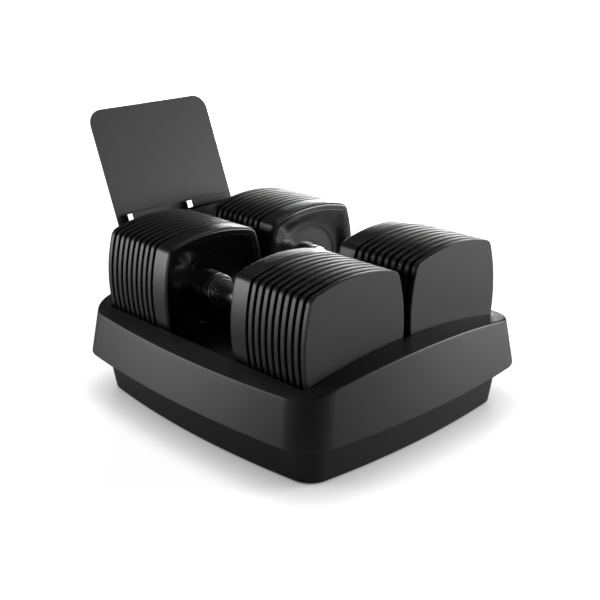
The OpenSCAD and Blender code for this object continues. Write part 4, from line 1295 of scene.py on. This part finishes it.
class BuildTabletPlate(Operator):
    """Builds the bent sheet-metal stand with its two hooks and windows"""

    bl_idname = "dumbbell.build_tablet_plate"
    bl_label = "Tablet plate"

    thickness = 3.0
    hook_foot = 69.0

    def execute(self, context):
        stand = context.scene.dumbbell_stand
        width = size_of("tablet_plate", 0)
        low, top, tongue = -9.0, 12.0 + stand.height, width * 0.42 / 2
        half, r = width / 2, stand.corner
        corners = [((half - r, 12 + r), 270, 360), ((half - r, top - r), 0, 90),
                   ((-half + r, top - r), 90, 180), ((-half + r, 12 + r), 180, 270)]
        rim = np.concatenate([arc_points(c, r, a, b, 14) for c, a, b in corners])
        tail = np.array([(-tongue, 12.0), (-tongue, low + 1), (-tongue + 1, low),
                         (tongue - 1, low), (tongue, low + 1), (tongue, 12.0)])
        hook_at = width * 0.2555
        loops = [np.concatenate([rim, tail])]
        for sx in (-1, 1):
            loops.append(soft_box(stand.hook_width - 0.1, 11.9, 0.8, 4)
                         + (sx * hook_at, self.hook_foot + 6))
        shape = self.sheet(loops)
        self.hooks(shape, hook_at, stand.hook_width, stand.hook_lip)
        piece(shape, "stand_plate", "tablet_stand", ["tablet_metal"],
              "tablet_plate", angle=40)
        return {"FINISHED"}

    def sheet(self, loops):
        """Flat sheet with holes and softened edges, as one closed shape."""
        curve = bpy.data.curves.new("sheet", "CURVE")
        curve.dimensions, curve.fill_mode = "2D", "BOTH"
        curve.extrude, curve.bevel_depth = self.thickness / 2 - 0.45, 0.45
        curve.bevel_resolution = 2
        curve.offset = -0.45
        for loop in loops:
            line = curve.splines.new("POLY")
            line.points.add(len(loop) - 1)
            for point, (x, z) in zip(line.points, loop):
                point.co = (x, z, 0.0, 1.0)
            line.use_cyclic_u = True
        holder = bpy.data.objects.new("sheet", curve)
        bpy.context.scene.collection.objects.link(holder)
        graph = bpy.context.evaluated_depsgraph_get()
        graph.update()
        mesh = bpy.data.meshes.new_from_object(holder.evaluated_get(graph))
        points = np.array([v.co for v in mesh.vertices])
        # the curve lies in x and y; the sheet stands in x and z, 0 to 3 deep
        points = np.stack([points[:, 0], self.thickness / 2 - points[:, 2],
                           points[:, 1]], 1)
        shape = Shape()
        shape.add(stand_place()(points), [list(p.vertices) for p in mesh.polygons])
        bpy.data.objects.remove(holder)
        bpy.data.curves.remove(curve)
        bpy.data.meshes.remove(mesh)
        return shape

    def hooks(self, shape, hook_at, width, lip):
        """Two bent strips: out from the sheet's foot and up into a lip."""
        t, depth, s, soft = self.thickness, 16.0, self.hook_foot, 0.5

        def strip(y, z, bend):
            """One face of the strip: out along z, round the bend, up along y."""
            return np.array([(0.2, z)] + [
                (y + bend - bend * math.sin(a), z + bend - bend * math.cos(a))
                for a in np.linspace(0, math.pi / 2, 8)] + [(y, s + lip)])
        for sx in (-1, 1):
            rings = []
            for a, b in zip(strip(-depth, s - t, 4.0), strip(-depth + t, s, 1.2)):
                across = (b - a) / np.linalg.norm(b - a)
                x0, x1 = sx * hook_at - width / 2, sx * hook_at + width / 2
                ring = [(x0 + soft, a), (x1 - soft, a), (x1, a + across * soft),
                        (x1, b - across * soft), (x1 - soft, b), (x0 + soft, b),
                        (x0, b - across * soft), (x0, a + across * soft)]
                rings.append(np.array([(x, p[0], p[1]) for x, p in ring]))
            last = rings[-1].copy()
            mid = last.mean(0)
            rings.append((last - mid) * (0.988, 0.72, 1.0) + mid + (0, 0, 0.45))
            shape.loft(rings, place=stand_place())


# ---- CAD nodes that keep their shape


CARRIED = {
    "tray_deck": ("deck_plastic", 0.5), "base_screws": ("screw_steel", 0.15),
    "drive_motors": ("motor_metal", 0.4), "control_board": ("board", 0.2),
    "power_inlet": ("inlet_plastic", 0.2), "tablet_bracket": ("housing_plastic", 0.6),
}
CARRIED.update({f"spindle_{s}_{e}": ("spindle_brass", 0.3)
                for s in SIDES for e in ("front", "rear")})
for _side in SIDES:
    CARRIED[f"handle_screws_{_side}"] = ("screw_steel", 0.12)
    for _end in ("front", "rear"):
        CARRIED[f"lock_bar_{_end}_{_side}"] = ("lock_steel", 0.12)
        CARRIED[f"drive_shaft_{_end}_{_side}"] = ("lock_steel", 0.12)


class DressCarriedNodes(Operator):
    """Gives the CAD nodes that keep their shape soft edges and their finish"""

    bl_idname = "dumbbell.dress_carried_nodes"
    bl_label = "Carried parts"

    def execute(self, context):
        for name, (label, soft) in CARRIED.items():
            node = NODES[name]
            node.data.materials.clear()
            node.data.materials.append(finish(label))
            weld = node.modifiers.new("weld", "WELD")
            weld.merge_threshold = 2e-6
            edges = node.modifiers.new("soft_edges", "BEVEL")
            edges.width = soft * MM
            edges.segments = 2
            edges.limit_method = "ANGLE"
            edges.angle_limit = math.radians(40)
            edges.harden_normals = False
        return {"FINISHED"}


# ---- stage


# where each soft light stands and its size, in metres
LIGHTS = {"key": ((2.6, -1.9, 0.65), (1.7, 1.2)), "fill": ((-2.3, 2.3, 0.6), (1.6, 1.1)),
          "rim": ((2.3, 2.3, 0.35), (1.7, 0.8)), "top": ((0.5, 0.8, 2.6), (0.8, 0.8))}
LIGHT_AIM = Vector((0.0, 0.0, 0.15))
CAMERA_PLACE = Vector((-1.00065, -1.08745, 0.68873))
CAMERA_AIM = Vector((0.0619, 0.0618, 0.1161))
CAMERA_ROLL = -0.01386


class BuildStage(Operator):
    """Sets up the pale floor, the soft lights and the camera"""

    bl_idname = "dumbbell.build_stage"
    bl_label = "Studio stage"

    def execute(self, context):
        scene = context.scene
        studio = scene.dumbbell_studio
        self.floor()
        self.surroundings(scene)
        for name, (place, size) in LIGHTS.items():
            self.light(name, place, size, getattr(studio, name + "_power"))
        self.camera(scene, studio)
        scene.view_settings.view_transform = "Standard"
        return {"FINISHED"}

    def floor(self):
        n, radii = 64, (0.6, 1.2, 2.5, 5.0, 12.0)
        rings = [level(arc_points((0, 0), r / MM, 0, 360, n)[:-1], 0.0) for r in radii]
        shape = Shape()
        shape.add(np.concatenate(rings),
                  [list(range(n))] + [[j * n + i, (j + 1) * n + i,
                                       (j + 1) * n + (i + 1) % n, j * n + (i + 1) % n]
                                      for j in range(len(radii) - 1) for i in range(n)])
        floor = bpy.data.objects.new("studio_floor", shape.mesh("studio_floor"))
        bpy.context.scene.collection.objects.link(floor)
        material = bpy.data.materials.new("studio_paper")
        material.use_nodes = True
        tree = material.node_tree
        shader = tree.nodes["Principled BSDF"]
        paper = noise(tree, object_place(tree), 14.0, 4.0)
        tree.links.new(remap(tree, paper, 0.0, 1.0, 0.78, 0.82),
                       shader.inputs["Base Color"])
        shader.inputs["Roughness"].default_value = 0.6
        shader.inputs["Specular IOR Level"].default_value = 0.2
        shader.inputs["Emission Color"].default_value = (1.0, 1.0, 1.0, 1.0)
        seen = add(tree, "ShaderNodeLightPath").outputs["Is Camera Ray"]
        far = add(tree, "ShaderNodeVectorMath", {0: object_place(tree)},
                  operation="LENGTH").outputs["Value"]
        glow = remap(tree, far, 0.45, 1.3, bpy.context.scene.dumbbell_studio.paper_glow)
        # ambient occlusion dims the camera-only glow where the floor meets the base and feet: a
        # painted contact shadow
        near = add(tree, "ShaderNodeAmbientOcclusion", {"Distance": 0.07}, samples=8)
        glow = maths(tree, "MULTIPLY", glow, near.outputs["AO"])
        glow = maths(tree, "MULTIPLY", seen, glow)
        tree.links.new(glow, shader.inputs["Emission Strength"])
        floor.data.materials.append(material)

    def surroundings(self, scene):
        scene.world = bpy.data.worlds.new("studio_room")
        scene.world.use_nodes = True
        room = scene.world.node_tree.nodes["Background"]
        room.inputs["Color"].default_value = (1.0, 1.0, 1.0, 1.0)
        room.inputs["Strength"].default_value = 0.04

    def light(self, name, place, size, power):
        data = bpy.data.lights.new(name, "AREA")
        data.shape, data.energy = "RECTANGLE", power
        data.size, data.size_y = size
        made = bpy.data.objects.new(name, data)
        made.location = place
        aim = LIGHT_AIM - Vector(place)
        made.rotation_euler = aim.to_track_quat("-Z", "Y").to_euler()
        bpy.context.scene.collection.objects.link(made)

    def camera(self, scene, studio):
        forward = (CAMERA_AIM - CAMERA_PLACE).normalized()
        right = forward.cross(Vector((0, 0, 1))).normalized()
        upward = right.cross(forward)
        c, s = math.cos(CAMERA_ROLL), math.sin(CAMERA_ROLL)
        x, y = right * c + upward * s, upward * c - right * s
        turn = Matrix((x, y, -forward)).transposed()
        data = bpy.data.cameras.new("studio_camera")
        data.lens, data.sensor_width = studio.lens, 36.0
        data.clip_start, data.clip_end = 0.05, 60.0
        made = bpy.data.objects.new("studio_camera", data)
        made.matrix_world = Matrix.Translation(CAMERA_PLACE) @ turn.to_4x4()
        scene.collection.objects.link(made)
        scene.camera = made


# ---- add-on


BUILDERS = (BuildPlates, BuildEndCovers, BuildHousings, BuildDishCovers, BuildCollars,
            BuildGrips, BuildCapStrips, BuildTrayShell, BuildBasePan, BuildFeet,
            BuildConsole, BuildKnob, BuildTabletPlate, DressCarriedNodes, BuildStage)
SETTINGS = {"dumbbell_head": DumbbellHeadSizes, "dumbbell_handle": DumbbellHandleSizes,
            "dumbbell_tray": DumbbellTraySizes, "dumbbell_stand": DumbbellStandSizes,
            "dumbbell_colours": DumbbellColours, "dumbbell_studio": DumbbellStudio}


class DumbbellPanel(Panel):
    bl_idname = "VIEW3D_PT_dumbbells"
    bl_label = "Docked dumbbells"
    bl_space_type = "VIEW_3D"
    bl_region_type = "UI"
    bl_category = "Dumbbells"

    def draw(self, context):
        layout = self.layout
        for builder in BUILDERS:
            layout.operator(builder.bl_idname)
        for key in SETTINGS:
            box = layout.box()
            group = getattr(context.scene, key)
            for prop in group.bl_rna.properties:
                if prop.identifier not in ("rna_type", "name"):
                    box.prop(group, prop.identifier)


def register():
    for group in SETTINGS.values():
        bpy.utils.register_class(group)
    for cls in (*BUILDERS, DumbbellPanel):
        bpy.utils.register_class(cls)
    for key, group in SETTINGS.items():
        setattr(bpy.types.Scene, key, PointerProperty(type=group))


def unregister():
    for key in SETTINGS:
        delattr(bpy.types.Scene, key)
    for cls in (DumbbellPanel, *reversed(BUILDERS), *SETTINGS.values()):
        bpy.utils.unregister_class(cls)


def main():
    register()
    for builder in BUILDERS:
        group, call = builder.bl_idname.split(".")
        getattr(getattr(bpy.ops, group), call)()


if __name__ == "__main__":
    main()
